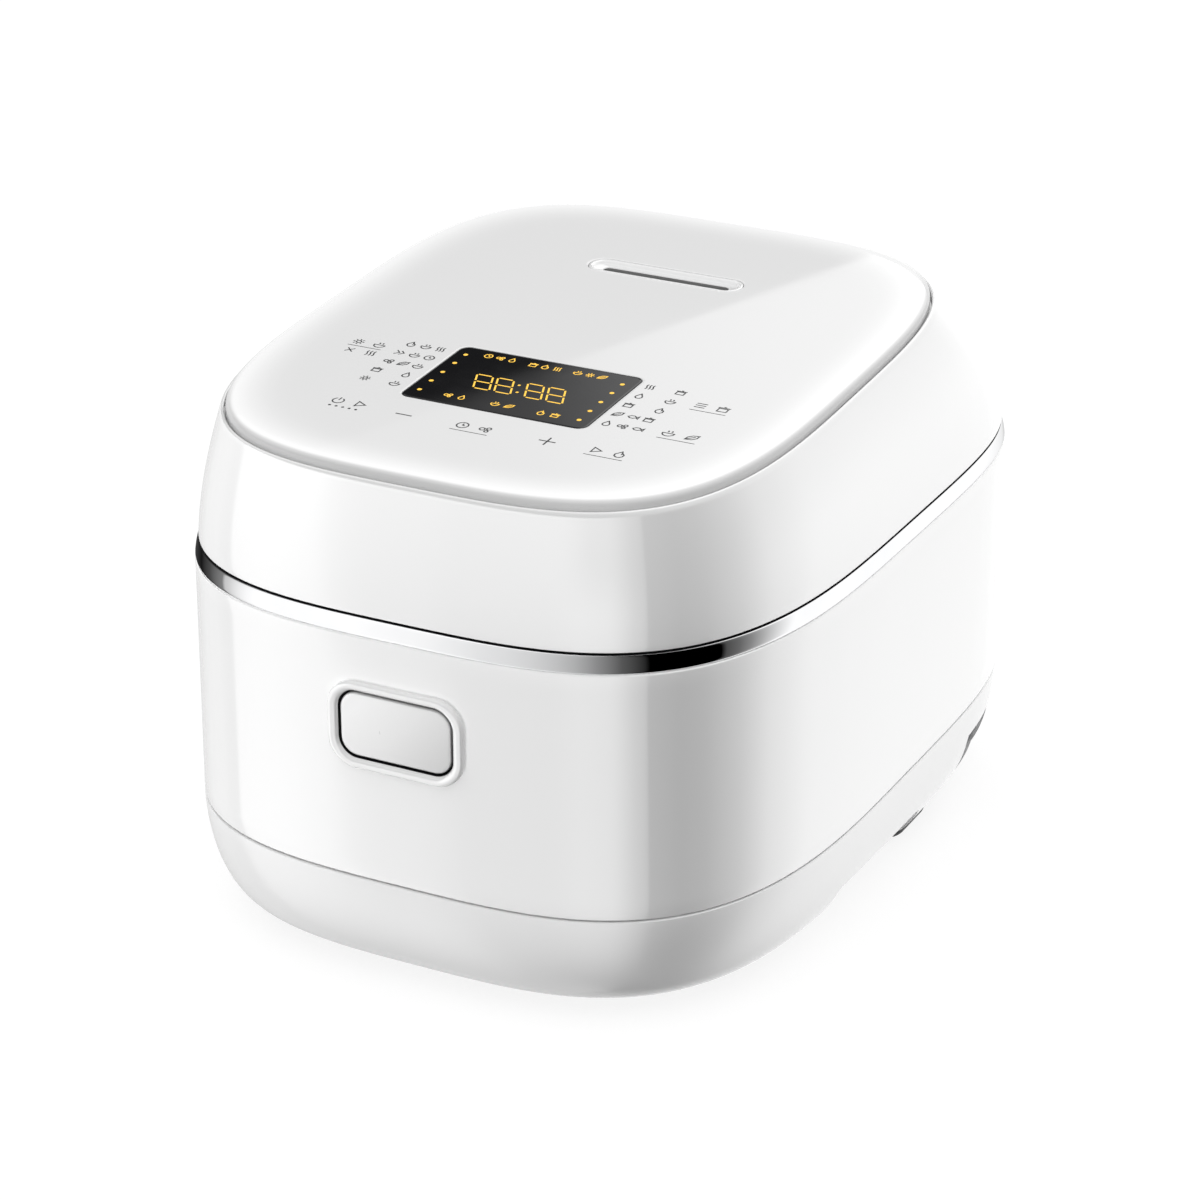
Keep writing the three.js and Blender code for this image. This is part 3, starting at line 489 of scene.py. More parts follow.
rings = [ring(body_sec(zb), WALL), ring(body_sec(zb), 0.8)]
for a in (20, 45, 70):
    rings.append(ring(body_sec(zb + 0.7 * (1 - math.cos(math.radians(a)))), 0.7 * (1 - math.sin(math.radians(a)))))
for i in range(17):
    rings.append(ring(body_sec(zb + 0.7 + (zt - zb - 1.4) * i / 16)))
for a in (20, 45, 70, 90):
    rings.append(ring(body_sec(zt - 0.7 + 0.7 * math.sin(math.radians(a))), 0.7 * (1 - math.cos(math.radians(a)))))
rings.append(ring(body_sec(zt), WALL))
body_skin = raw("body_skin", loft(rings))


def slab_y(outline, y0, y1, cx, cz):
    """An outline in XZ carried from y0 to y1."""
    return loft([[(cx + x, y0, cz + z) for x, z in outline], [(cx + x, y1, cz + z) for x, z in outline]], False, (True, True))


def slab_panel(outline, h0, h1, cy, cx=0.0):
    return loft([[on_panel(cx + x, cy + y, h) for x, y in outline] for h in (h0, h1)], False, (True, True))


holes = [slab_y(rrect(BEZEL_W - 2.4, BEZEL_H - 2.4, BEZEL_R - 1.6), -180, -150, 0, BTN_Z)]
for i in range(6):
    holes.append(slab_y(rrect(4, 26, 1.9, 6), 150, 190, -58 + i * 10, 75))
boolean(body_skin, merge(*holes))
piece(body_skin, "housing", M["white_gloss"], ["body_shell"])


# lower base: curls in to the floor plate, hand recesses at both sides
def base_at(phi, inset=0.0):
    t = math.sin(phi) ** (2 / BASE_POWER)
    w = BASE_INSET * (1 - max(0.0, math.cos(phi)) ** (2 / BASE_POWER))
    z0 = BASE["z"] - 0.3
    return ring(dict(BASE, z=z0 + (FOOT_H - z0) * t), w + inset)


z0 = BASE["z"] - 0.3
rings = [ring(dict(BASE, z=10.6), 17.5), ring(dict(BASE, z=z0), 16), ring(dict(BASE, z=z0), 0.9)]
for a in (15, 40, 65):
    rings.append(ring(dict(BASE, z=z0 - 0.7 * (1 - math.cos(math.radians(a)))), 0.7 * (1 - math.sin(math.radians(a)))))
for i in range(1, 29):
    ph = math.radians(90 * i / 28)
    if math.sin(ph) ** (2 / BASE_POWER) * (z0 - FOOT_H) > 1.2:
        rings.append(base_at(ph))
base_skin = raw("base_skin", loft(rings, False, (True, True)))
tools = []
ARCH = [(-48, FOOT_H - 1), (-47.2, 10), (-46, 14), (-44.8, 17.0), (-43.2, 19.4), (-41.2, 21.0), (-38.8, 21.8), (-35, 21.8), (-30, 21.2), (0, 19.3), (34, 18.8), (38, 18.4), (40.2, 17.2), (40.6, 15.6), (39.4, 13.2), (37, 11), (34, FOOT_H - 1)]
tools.append(box(INLET["x0"] - 0.35, 150, INLET["y0"] - 0.35, INLET["y1"] + 0.35, INLET["z0"] - 1.6, INLET["z1"] + 0.35))
for i in range(6):
    y = FAN[1] - 22.5 + i * 9
    tools.append(loft([[(FAN[0] + px, y + py, z) for px, py in stadium(22, 2, 24)] for z in (FOOT_H - 2, FOOT_H + 4)], False, (True, True)))
for x, y in SCREWS:
    tools.append(loft([[(x + r * math.cos(2 * math.pi * i / 32), y + r * math.sin(2 * math.pi * i / 32), z) for i in range(32)] for r, z in ((4.4, FOOT_H - 1), (3.4, FOOT_H + 0.9), (3.4, FOOT_H + 5))], False, (True, True)))
for x, y in FEET:
    tools.append(loft([[(x + r * math.cos(2 * math.pi * i / 32), y + r * math.sin(2 * math.pi * i / 32), z) for i in range(32)] for r, z in ((4.4, FOOT_H - 1), (4.4, FOOT_H + 5))], False, (True, True)))
boolean(base_skin, merge(*tools))
for side in (1, -1):
    # the arch carried inward: each step in lowers it, so the cut runs in at 45 degrees
    prof_rings = []
    for x in (150.0, 128.0, 126.0, 124.0, 122.0, 120.0, 118.0, 116.5, 115.2):
        top_ = x - 107.6
        prof_rings.append([(side * x, y, min(z, top_)) for y, z in ARCH])
    boolean(base_skin, loft(prof_rings, False, (True, True)))
piece(base_skin, "housing", M["white_satin"], ["base_shell"], 28)

PAD_HL, PAD_HW = 20.5, 10.5
for i, (x, y) in enumerate(FEET):
    pad = []
    for inset, z in ((2.6, 0.0), (1.9, 0.06), (1.2, 0.4), (0.55, 1.0), (0.15, 1.8), (0.0, 2.8), (0.0, 6.7), (0.25, 7.05), (0.7, 7.2)):
        pad.append([(x + py, y + px, z) for px, py in stadium(PAD_HL - inset, PAD_HW - inset, 72)])
    piece(raw(f"foot_pad_{i + 1}", merge(loft(pad, False, (True, True)), rod((x, y, 6.0), "z", 4.0, 6.0, 32))), "housing", M["rubber_grey"], [f"foot_{i + 1}"])

# bright band: a shallow crown on the outside, a ledge on top painted near-black, a painted shade for the seam gap
zc0, zc1 = BAND["z"] + 0.1, SEAM["z"] - 0.5


def band_sec(q):
    return mix(BAND, SEAM, (zc0 + (zc1 - zc0) * q - BAND["z"]) / (SEAM["z"] - BAND["z"]), zc0 + (zc1 - zc0) * q)


rings = [ring(band_sec(0.0), 2.6), ring(band_sec(0.0), 0.5)]
rings += [ring(band_sec(0.02), 0.25), ring(band_sec(0.05), 0.1)]
for i in range(9):
    q = 0.08 + 0.85 * i / 8
    rings.append(ring(band_sec(q), 0.05 - 0.2 * math.sin(math.pi * q)))
rings += [ring(band_sec(0.965), 0.12), ring(band_sec(0.99), 0.26), ring(band_sec(1.0), 0.5)]
ledge = len(rings) - 1
rings.append(ring(band_sec(1.0), 2.2))
chrome_ring = raw("chrome_ring", loft(rings))
# the top ledge takes the near-black painted shade of the seam gap
for f in chrome_ring.data.polygons:
    f.material_index = 1 if f.index // NR == ledge else 0
hinge_cut = rod((-52.8, HINGE_Y, HINGE_Z), "x", KNUCKLE_R + 0.6, 105.6, 48, 0.01)
ledge_faces = {f.index for f in chrome_ring.data.polygons if f.material_index == 1}
chrome_ring.data.materials.append(M["chrome"])
chrome_ring.data.materials.append(M["seam_painted_shade"])
boolean(chrome_ring, hinge_cut)
keep_index = [f.material_index for f in chrome_ring.data.polygons]
piece(chrome_ring, "housing", [M["chrome"], M["seam_painted_shade"]], ["chrome_band"])
# upward faces on the ledge get the painted shade of the seam gap
for f in chrome_ring.data.polygons:
    c, n = f.center, f.normal
    f.material_index = 1 if (n.z > 0.9 and c.z > (zc1 - 0.1) * MM) else 0

# deck that closes the body round the pot
DZ0, DZ1 = BAND["z"] - 0.6, BAND["z"] + 2.2
deck = raw("deck_moulding", loft([ring(dict(BAND, z=DZ0), 3.1), ring(dict(BAND, z=DZ1 - 0.8), 3.1), ring(dict(BAND, z=DZ1 - 0.2), 3.4), ring(dict(BAND, z=DZ1), 4.0)], False, (True, True)))
boolean(deck, lathe([(0, DZ1 - 12), (117, DZ1 - 12), (117, DZ1 - 1), (0, DZ1 - 1)], 128, (0, POT_Y)), "UNION")
boolean(deck, lathe([(0, 120), (107, 120), (107, 149.0), (107.6, 149.5), (112.8, 149.5), (113.6, 150.2), (113.6, 152.7), (114.0, 153.5), (115.2, 153.9), (115.4, 156), (0, 156)], 128, (0, POT_Y)))
boolean(deck, merge(box(-17, 17, -159.5, -141, 130, 170), box(-53, -37, 160, 180, 130, 170), box(37, 53, 160, 180, 130, 170)))
boolean(deck, hinge_cut)
piece(deck, "housing", M["liner_grey"], ["top_deck"])

# button surround: a raised rounded ring
prof = [(0, -166.6), (0, -168.3), (0.03, -168.9), (0.09, -169.4), (0.2, -169.78), (0.36, -169.95), (0.52, -169.95), (0.68, -169.75), (0.82, -169.35), (0.92, -168.8), (0.98, -168.2), (1, -167.6), (1, -160), (0.35, -160), (0.35, -166.6)]


def bezel_ring(q, y):
    w, h, r = BEZEL_W + (BTN_W + 1.1 - BEZEL_W) * q, BEZEL_H + (BTN_H + 1.1 - BEZEL_H) * q, BEZEL_R + (BTN_R + 0.5 - BEZEL_R) * q
    return [(x, y, BTN_Z + z) for x, z in rrect(w, h, r, 14)]


surround = piece(raw("button_surround", loft([bezel_ring(q, y) for q, y in prof])), "housing", [M["white_gloss"], M["seam_painted_shade"]], ["button_bezel"])
# inner walls of the surround facing the key painted near-black: painted shade in the gap round the key
for f in surround.data.polygons:
    x_, y_, z_ = f.center.x / MM, f.center.y / MM - Y_SHIFT, f.center.z / MM - BTN_Z
    inner = abs(x_) < (BTN_W + 2.2) / 2 and abs(z_) < (BTN_H + 2.2) / 2
    f.material_index = 1 if inner and y_ > -168.0 and abs(f.normal.y) < 0.5 else 0

prof = [(6, -162.2), (1.6, -160.4), (0, -160.4), (0, -167.3), (0.08, -167.75), (0.3, -168.1), (0.65, -168.32), (1.1, -168.4), (1.6, -168.4), (2.4, -168.4)]
face = loft([[(x, y, BTN_Z + z) for x, z in rrect(BTN_W - 0.5 - 2 * i, BTN_H - 0.5 - 2 * i, BTN_R - 0.25 - i, 14)] for i, y in prof], False, (True, True))
piece(raw("release_key", merge(face, rod((0, -166.0, BTN_Z), "y", 3.2, 14.8, 32))), "button", M["silver_satin"], ["release_button"])

# inner pot
pz, pr, pw = POT_BOTTOM, POT_R, 2.0
prof = [(0, pz), (70, pz), (77, pz + 0.7), (84, pz + 3), (90, pz + 6.8), (94.5, pz + 11.5), (98.6, pz + 18), (101.5, pz + 25), (103.4, pz + 33.5), (pr, pz + 42), (pr, POT_TOP - 1.8),
        (104.6, POT_TOP - 1.4), (111.2, POT_TOP - 1.3), (111.8, POT_TOP - 1.1), (112, POT_TOP - 0.65), (111.8, POT_TOP - 0.2), (111.2, POT_TOP), (104.4, POT_TOP), (103.2, POT_TOP - 0.3), (102.3, POT_TOP - 1.2),
        (102, POT_TOP - 3), (102, pz + 42.5), (101.5, pz + 34), (99.6, pz + 26), (96.8, pz + 19), (92.8, pz + 13), (88.4, pz + 8.4), (83, pz + 5), (77, pz + 2.9), (71.5, pz + pw), (0, pz + pw)]
pot = raw("inner_pot_shell", lathe(prof, 160, (0, POT_Y)))
piece(pot, "housing", M["pot_coating"], ["inner_pot"])


def arc_mark(bm_parts, ang, z, half, thick, r=101.93):
    n = 10
    pts_i, pts_o = [], []
    for k in range(n + 1):
        a = ang + half * (2 * k / n - 1)
        pts_i.append((r * math.cos(a), POT_Y + r * math.sin(a)))
    v = []
    for x, y in pts_i:
        d = math.hypot(x, y - POT_Y)
        ox, oy = x * (d + 0.3) / d, POT_Y + (y - POT_Y) * (d + 0.3) / d
        v += [(x, y, z - thick / 2), (x, y, z + thick / 2), (ox, oy, z + thick / 2), (ox, oy, z - thick / 2)]
    f = [(0, 1, 2, 3), tuple(reversed(range(4 * n, 4 * n + 4)))]
    for k in range(n):
        a, b = 4 * k, 4 * k + 4
        for j in range(4):
            f.append((a + j, b + j, b + (j + 1) % 4, a + (j + 1) % 4))
    bm_parts.append((v, f))


# water-level lines with a short and a long mark for each cup
parts = []
for k in range(9):
    z = 62 + k * 8.5
    arc_mark(parts, math.radians(62), z, math.radians(2.6 if k % 2 else 4.6), 0.5)
    arc_mark(parts, math.radians(118), z, math.radians(2.6 if k % 2 else 4.6), 0.5)
arc_mark(parts, math.radians(54.5), 62 + 34, 0.004, 69)
arc_mark(parts, math.radians(125.5), 62 + 34, 0.004, 69)
t = Tree("level_print").set(rough=0.45)
t.base(t.ramp(t.noise(1500.0, 2.0), [(0.3, (0.5, 0.49, 0.46)), (0.7, (0.62, 0.61, 0.58))]))
piece(raw("pot_level_lines", merge(*parts)), "housing", t.m, ())

# hinge, housing half: posts, cross plate, two knuckles and the pin with peened heads
hb = merge(rod((-52, HINGE_Y, HINGE_Z), "x", KNUCKLE_R, 14, 64, 0.6), rod((38, HINGE_Y, HINGE_Z), "x", KNUCKLE_R, 14, 64, 0.6),
           box(-52, -38, 162.5, 168.6, 118, HINGE_Z), box(38, 52, 162.5, 168.6, 118, HINGE_Z), box(-52, 52, 162.5, 165, 118, 130))
soften(piece(raw("hinge_housing_half", hb), "housing", M["white_satin"], ["hinge_bracket"]), 0.5, 2, 60)
pin = merge(rod((-52.6, HINGE_Y, HINGE_Z), "x", PIN_R, 105.2, 32, 0.3), rod((-53.0, HINGE_Y, HINGE_Z), "x", 3.0, 0.9, 32, 0.35), rod((52.1, HINGE_Y, HINGE_Z), "x", 3.0, 0.9, 32, 0.35))
piece(raw("hinge_rod", pin), "housing", M["steel"], ["hinge_pin"])

# ------------------------------------------------------------------------ lid
LZ = SEAM["z"] + 0.3


def lid_sec(t):
    p = mix(SEAM, RIM, max(0.0, t) ** LID_POWER)
    p["z"], p["s"] = LZ + (RIM["z"] - LZ) * t, RIM["s"] * t
    return p


rings = [ring(lid_sec(0.0), WALL), ring(lid_sec(0.0), 0.75)]
H = RIM["z"] - LZ
for a in (20, 45, 70):
    rings.append(ring(lid_sec(0.6 * (1 - math.cos(math.radians(a))) / H), 0.6 * (1 - math.sin(math.radians(a)))))
for i in range(27):
    rings.append(ring(lid_sec((0.6 + (H - 1.1) * i / 26) / H)))
lip = [(0.05, -0.22), (0.22, -0.07), (0.5, 0.0), (0.75, 0.0), (1.0, -0.1), (1.18, -0.32), (1.26, -0.7), (1.3, -2.6), (9, -2.6), (9, -5), (3.6, -5)]
rings += [ring(RIM, i, h) for i, h in lip]
for t_ in (0.9, 0.66, 0.45, 0.3, 0.15):
    rings.append(ring(lid_sec(t_), WALL))
lid_skin = raw("lid_skin", loft(rings))
boolean(lid_skin, hinge_cut)
piece(lid_skin, "lid", M["white_gloss"], ["lid_shell"])

# top panel: rolled edge, slight crown, flat middle with two openings
edge_prof = [(1.9, -2.2), (1.85, 0.6), (1.9, 1.35), (2.05, 1.95), (2.32, 2.5), (2.7, 2.93), (3.2, 3.27), (3.8, 3.49), (4.5, 3.62), (5.4, 3.68), (6.4, 3.7), (7.4, 3.7)]
flat_at = 30.0
for k in range(1, 11):
    edge_prof.append((7.4 + (flat_at - 7.4) * k / 10, 3.7))


def panel_mesh():
    bm = bmesh.new()
    lay = bm.verts.layers.float.new("edge")

    def loop(pts, e):
        out = []
        for x, y, z in pts:
            v = bm.verts.new((x * MM, (y + Y_SHIFT) * MM, z * MM))
            v[lay] = e
            out.append(v)
        return out

    def strip(p, q):
        for i in range(len(p)):
            j = (i + 1) % len(p)
            bm.faces.new((p[i], p[j], q[j], q[i]))

    outer = [loop(ring(RIM, i, h), min(1.0, (i - 1.9) / (flat_at - 1.9))) for i, h in edge_prof]
    for p, q in zip(outer, outer[1:]):
        strip(p, q)
    cy = (DISPLAY_Y0 + DISPLAY_Y1) / 2
    holes_ = []
    for name in ("display", "vent"):
        lps = []
        for grow, h in ((1.0, 0.0), (0.3, 0.0), (0.06, -0.12), (0.0, -0.4), (0.0, -5.9)):
            if name == "display":
                o = [on_panel(x, cy + y, h) for x, y in rrect(2 * DISPLAY_X + 0.5 + 2 * grow, DISPLAY_Y1 - DISPLAY_Y0 + 0.5 + 2 * grow, DISPLAY_R + 0.25 + grow, 12)]
            else:
                o = [on_panel(x, VENT_Y + y, h) for x, y in stadium(VENT_HL + grow, VENT_HH + grow, 72)]
            lps.append(loop(o, 1.0))
        for p, q in zip(lps, lps[1:]):
            strip(p, q)
        holes_.append(lps)
    nrm = Vector((0, -PANEL_S, 1)).normalized()
    fill_plane(bm, [outer[-1], holes_[0][0], holes_[1][0]], nrm)
    under = [v for v in outer[0]]
    fill_plane(bm, [under, holes_[0][-1], holes_[1][-1]], -nrm)
    me = bpy.data.meshes.new("panel_sheet")
    bm.to_mesh(me)
    bm.free()
    ob = bpy.data.objects.new("panel_sheet", me)
    bpy.context.scene.collection.objects.link(ob)
    return ob


panel_sheet = piece(panel_mesh(), "lid", M["panel_white"], ["top_panel"], 30)

cy = (DISPLAY_Y0 + DISPLAY_Y1) / 2
rings = [[on_panel(x, cy + y, h) for x, y in rrect(2 * DISPLAY_X - 2 * i, DISPLAY_Y1 - DISPLAY_Y0 - 2 * i, DISPLAY_R - i, 12)] for i, h in ((0, -3.2), (0, -0.2), (0.06, -0.06), (0.2, 0.0), (0.9, 0.0))]
piece(raw("display_glass", loft(rings, False, (True, True))), "lid", M["display_black"], ["display_window"])

# vent cap: pill tray, slot and the baffle box under it
prof = [(33.6, 5.5, -16), (33.6, 5.5, -5.0), (34.65, 6.55, -5.0), (34.65, 6.55, -0.55), (34.58, 6.48, -0.25), (34.4, 6.3, -0.08), (34.15, 6.05, -0.02), (33.7, 5.6, -0.02), (33.3, 5.2, -0.14), (33.0, 4.9, -0.45), (32.75, 4.65, -1.0),
        (32.4, 4.3, -1.4), (31.9, 3.8, -1.55), (29.4, 3.2, -1.58), (29.0, 2.95, -1.66), (28.75, 2.75, -1.85), (28.6, 2.6, -2.2), (28.5, 2.5, -6.2), (32, 4.1, -6.4), (32, 4.1, -14.4)]
cap = raw("vent_cap_tray", loft([[on_panel(x, VENT_Y + y, h) for x, y in stadium(a, b, 72)] for a, b, h in prof], False, (True, True)))
boolean(cap, merge(slab_panel(rrect(14, 5, 1, 4), -20, -12, VENT_Y, -22), slab_panel(rrect(14, 5, 1, 4), -20, -12, VENT_Y, 22)))
piece(cap, "vent_cap", [M["white_gloss"], M["slot_painted_shade"]], ["steam_cap"])
# faces deep inside the tray and slot painted grey: painted shade in the recess
for f in cap.data.polygons:
    dzp = f.center.z / MM - (PANEL_Z + PANEL_S * (f.center.y / MM - Y_SHIFT))
    f.material_index = 1 if dzp < -2.3 and abs(f.center.x / MM) < 32.6 and abs(f.center.y / MM - Y_SHIFT - VENT_Y) < 4.5 and dzp > -14.6 else 0

# underside of the lid
LIN = SEAM["z"] + 0.9
liner = raw("lid_inner_moulding", loft([ring(dict(SEAM, z=LIN + 0.3), 3.1), ring(dict(SEAM, z=LIN), 3.6), ring(dict(SEAM, z=LIN), 9.0), ring(dict(SEAM, z=LIN + 0.5), 9.8), ring(dict(SEAM, z=LIN + 0.5), 14.0), ring(dict(SEAM, z=LIN), 14.8), ring(dict(SEAM, z=LIN), 30)][::-1]
                                     + [ring(dict(SEAM, z=LIN + 2.4), 5.6)], False, (True, True)))
boolean(liner, lathe([(94, LIN + 1), (94, LIN - 1.4), (94.4, LIN - 1.7), (97.6, LIN - 1.7), (98, LIN - 1.4), (98, LIN + 1)], 128, (0, POT_Y)), "UNION")
boolean(liner, merge(rod((0, VENT_Y, LIN - 15), "z", 9.5, 30, 48, 0.01), box(-18, 18, -160, -141.6, LIN - 5, LIN + 8), box(-36.4, -11.6, 157, 175, LIN - 5, LIN + 8), box(11.6, 36.4, 157, 175, LIN - 5, LIN + 8)))
boolean(liner, hinge_cut)
piece(liner, "lid", M["liner_grey"], ["lid_liner"])

PL = LIN - 4.9
prof = [(0, PL + 0.1), (30, PL + 0.1), (33, PL), (60, PL), (62, PL + 0.35), (66, PL + 0.35), (68, PL), (102, PL), (104, PL + 0.05), (107.5, PL + 0.45), (109, PL + 0.7), (109.2, PL + 1.1), (109, PL + 1.4), (106, PL + 1.15), (103, PL + 0.8), (0, PL + 0.8)]
plate = raw("inner_plate", lathe(prof, 128, (0, POT_Y)))
vents = [rod((0, VENT_Y, PL - 5), "z", 7, 10, 48, 0.01)]
for k in range(9):
    a = math.radians(200 + 140 * k / 8)
    vents.append(rod((16 * math.cos(a), VENT_Y + 16 * math.sin(a), PL - 5), "z", 1.2, 10, 20, 0.01))
boolean(plate, merge(*vents))
piece(plate, "lid", M["steel"], ["inner_lid_plate"])

prof = [(98.5, PL - 0.4), (98.5, PL - 1.3), (98.9, PL - 1.7), (100.6, PL - 1.9), (103, PL - 2.2), (105.0, POT_TOP + 0.9), (106.4, POT_TOP + 0.45), (107.2, POT_TOP + 0.5), (107.6, POT_TOP + 0.85), (107.3, POT_TOP + 1.4), (106.9, PL - 1.4), (106.6, PL - 0.4)]
piece(raw("lid_seal_ring", lathe(prof, 128, (0, POT_Y))), "lid", M["seal_grey"], ["lid_gasket"])

# hinge, lid half
lh = merge(rod((-36, HINGE_Y, HINGE_Z), "x", KNUCKLE_R, 72, 64, 0.6), box(-36, -12, 158, 168.2, LIN - 0.2, LIN + 1.8), box(12, 36, 158, 168.2, LIN - 0.2, LIN + 1.8),
           box(-36, -12, 158, 161, LIN - 0.2, LIN + 5.2), box(12, 36, 158, 161, LIN - 0.2, LIN + 5.2), box(-36, 36, 136, 159.5, LIN + 2.8, LIN + 5.2))
soften(piece(raw("hinge_lid_half", lh), "lid", M["white_satin"], ["lid_hinge_arm"]), 0.4, 2, 60)


# ------------------------------------------------------------- printed marks
def ribbon(points, width, h=0.02, thick=0.05, closed=False):
    """A flat line of constant width on the panel, with mitred corners."""
    n = len(points)
    out = []
    for i, (x, y) in enumerate(points):
        a = points[i - 1] if (i > 0 or closed) else None
        b = points[(i + 1) % n] if (i < n - 1 or closed) else None
        ds = []
        for p, q in ((a, (x, y)), ((x, y), b)):
            if p is None or q is None:
                continue
            dx, dy = q[0] - p[0], q[1] - p[1]
            L = math.hypot(dx, dy) or 1.0
            ds.append((dx / L, dy / L))
        nx, ny = -sum(d[1] for d in ds), sum(d[0] for d in ds)
        L = math.hypot(nx, ny) or 1.0
        nx, ny = nx / L, ny / L
        k = 1.0 / max(0.45, nx * -ds[0][1] + ny * ds[0][0])
        out.append(((x + nx * width / 2 * k, y + ny * width / 2 * k), (x - nx * width / 2 * k, y - ny * width / 2 * k)))
    v, f = [], []
    for l, r in out:
        v += [on_panel(*l, h - thick), on_panel(*l, h), on_panel(*r, h), on_panel(*r, h - thick)]
    for i in range(n if closed else n - 1):
        a, b = 4 * i, 4 * ((i + 1) % n)
        for j in range(4):
            f.append((a + j, a + (j + 1) % 4, b + (j + 1) % 4, b + j))
    if not closed:
        f.append((0, 1, 2, 3))
        f.append(tuple(4 * (n - 1) + j for j in (3, 2, 1, 0)))
    return v, f


def arc(cx, cy_, r, a0, a1, n=16, ry=None):
    return [(cx + r * math.cos(math.radians(a0 + (a1 - a0) * i / n)), cy_ + (ry or r) * math.sin(math.radians(a0 + (a1 - a0) * i / n))) for i in range(n + 1)]


def disc(cx, cy_, r, h=0.02, thick=0.05, n=20):
    o = [(cx + r * math.cos(2 * math.pi * i / n), cy_ + r * math.sin(2 * math.pi * i / n)) for i in range(n)]
    return loft([[on_panel(x, y, h - thick) for x, y in o], [on_panel(x, y, h) for x, y in o]], False, (True, True))


def icon(kind, x, y, s, w):
    """Small generic pictograms, s half-size, w line width."""
    R = lambda pts, c=False: ribbon([(x + px * s, y + py * s) for px, py in pts], w, closed=c)
    A = lambda cx, c_y, r, a0, a1, n=14: [(cx + r * math.cos(math.radians(a0 + (a1 - a0) * i / n)), c_y + r * math.sin(math.radians(a0 + (a1 - a0) * i / n))) for i in range(n + 1)]
    if kind == "bowl":
        return [R(A(0, 0.1, 0.95, 180, 360)), R([(-1.05, 0.1), (1.05, 0.1)]), R([(-0.3, 0.45), (-0.2, 0.7), (-0.35, 0.95)]), R([(0.3, 0.45), (0.4, 0.7), (0.25, 0.95)])]
    if kind == "flame":
        return [R([(0, 1), (-0.35, 0.45), (-0.7, 0.0), (-0.62, -0.6), (-0.2, -0.95), (0.3, -0.95), (0.68, -0.55), (0.7, 0.0), (0.4, 0.35), (0.25, 0.1), (0.2, 0.6)], True)]
    if kind == "fast":
        return [R([(-0.9, 0.8), (-0.1, 0), (-0.9, -0.8)]), R([(0.0, 0.8), (0.8, 0), (0.0, -0.8)])]
    if kind == "grain":
        return [R(A(-0.45, 0, 0.42, 0, 360, 12)[:-1], True), R(A(0.5, 0.35, 0.36, 0, 360, 12)[:-1], True), R(A(0.45, -0.55, 0.3, 0, 360, 12)[:-1], True)]
    if kind == "pot":
        return [R([(-0.75, 0.25), (-0.75, -0.8), (0.75, -0.8), (0.75, 0.25)], True), R([(-1.0, 0.55), (1.0, 0.55)]), R([(-0.2, 0.85), (0.2, 0.85)])]
    if kind == "steam":
        return [R([(d + 0.14 * math.sin(k * 1.05), -0.9 + 0.3 * k) for k in range(7)]) for d in (-0.6, 0.0, 0.6)]
    if kind == "drop":
        return [R([(0, 1)] + A(0, -0.3, 0.62, 30, -210, 14), True)]
    if kind == "clock":
        return [R(A(0, 0, 0.9, 0, 360, 20)[:-1], True), R([(0, 0.55), (0, 0), (0.42, -0.12)])]
    if kind == "power":
        return [R(A(0, -0.05, 0.85, 120, 420, 20)), R([(0, 1.0), (0, 0.1)])]
    if kind == "play":
        return [R([(-0.6, 0.8), (0.8, 0), (-0.6, -0.8)], True)]
    if kind == "menu":
        return [R([(-0.85, d), (0.85, d)]) for d in (-0.65, 0.0, 0.65)]
    if kind == "warm":
        return [R(A(0, 0, 0.42, 0, 360, 14)[:-1], True)] + [R([(0.65 * math.cos(math.radians(a)), 0.65 * math.sin(math.radians(a))), (math.cos(math.radians(a)), math.sin(math.radians(a)))]) for a in range(0, 360, 45)]
    if kind == "cancel":
        return [R([(-0.65, 0.65), (0.65, -0.65)]), R([(0.65, 0.65), (-0.65, -0.65)])]
    if kind == "leaf":
        return [R([(-0.85, -0.75), (-0.7, 0.1), (-0.1, 0.7), (0.85, 0.85), (0.75, 0.0), (0.2, -0.6), (-0.85, -0.75)][:-1], True), R([(-0.85, -0.75), (0.4, 0.4)])]
    if kind == "fish":
        return [R([(-0.95, 0.0), (-0.5, 0.45), (0.1, 0.5), (0.6, 0.1), (1.0, 0.5), (1.0, -0.5), (0.6, -0.1), (0.1, -0.5), (-0.5, -0.45)], True)]
    return []


W = 0.58
parts = []


def row(kinds, x, y, half=2.25, pitch=6.6, w=W):
    for k, kind in enumerate(kinds):
        if kind:
            parts.extend(icon(kind, x + pitch * k, y, half, w))


def rule(x0, x1, y):
    parts.append(ribbon([(x0, y), (x1, y)], 0.42))


for k, kinds in enumerate((("flame", "bowl", "steam"), ("fast", "bowl", "clock"), ("grain", "leaf", "bowl"), ("pot", None, "drop"), ("warm", None, "bowl"))):
    row(kinds, -60.0, -46.6 - 9.1 * k)
for k, kinds in enumerate((("steam", None, "pot"), ("drop", None, "bowl"), ("pot", None, "flame"), ("leaf", "fish", "pot"), ("drop", "grain", "fish"))):
    row(kinds, 45.4, -46.3 - 9.2 * k)
row(("warm", "bowl"), -80.6, -52.6, 2.5, 9.4)
rule(-83.4, -68.4, -56.6)
row(("cancel", "steam"), -79.8, -61.0, 2.5, 9.4)
row(("menu", "pot"), 70.8, -54.0, 2.6, 9.4)
rule(68.0, 83.2, -58.6)
row(("bowl", "leaf"), 70.8, -82.0, 2.6, 9.8)
rule(68.0, 83.8, -86.6)
row(("power", "play"), -58.6, -105.6, 2.7, 9.8)
for k in range(5):
    parts.append(disc(-59.6 + 2.9 * k, -110.6, 0.62))
parts.append(ribbon([(-32.4, -107.2), (-25.4, -107.2)], 0.7))
row(("clock", "grain"), -3.6, -106.6, 2.6, 9.6)
rule(-6.8, 9.2, -111.2)
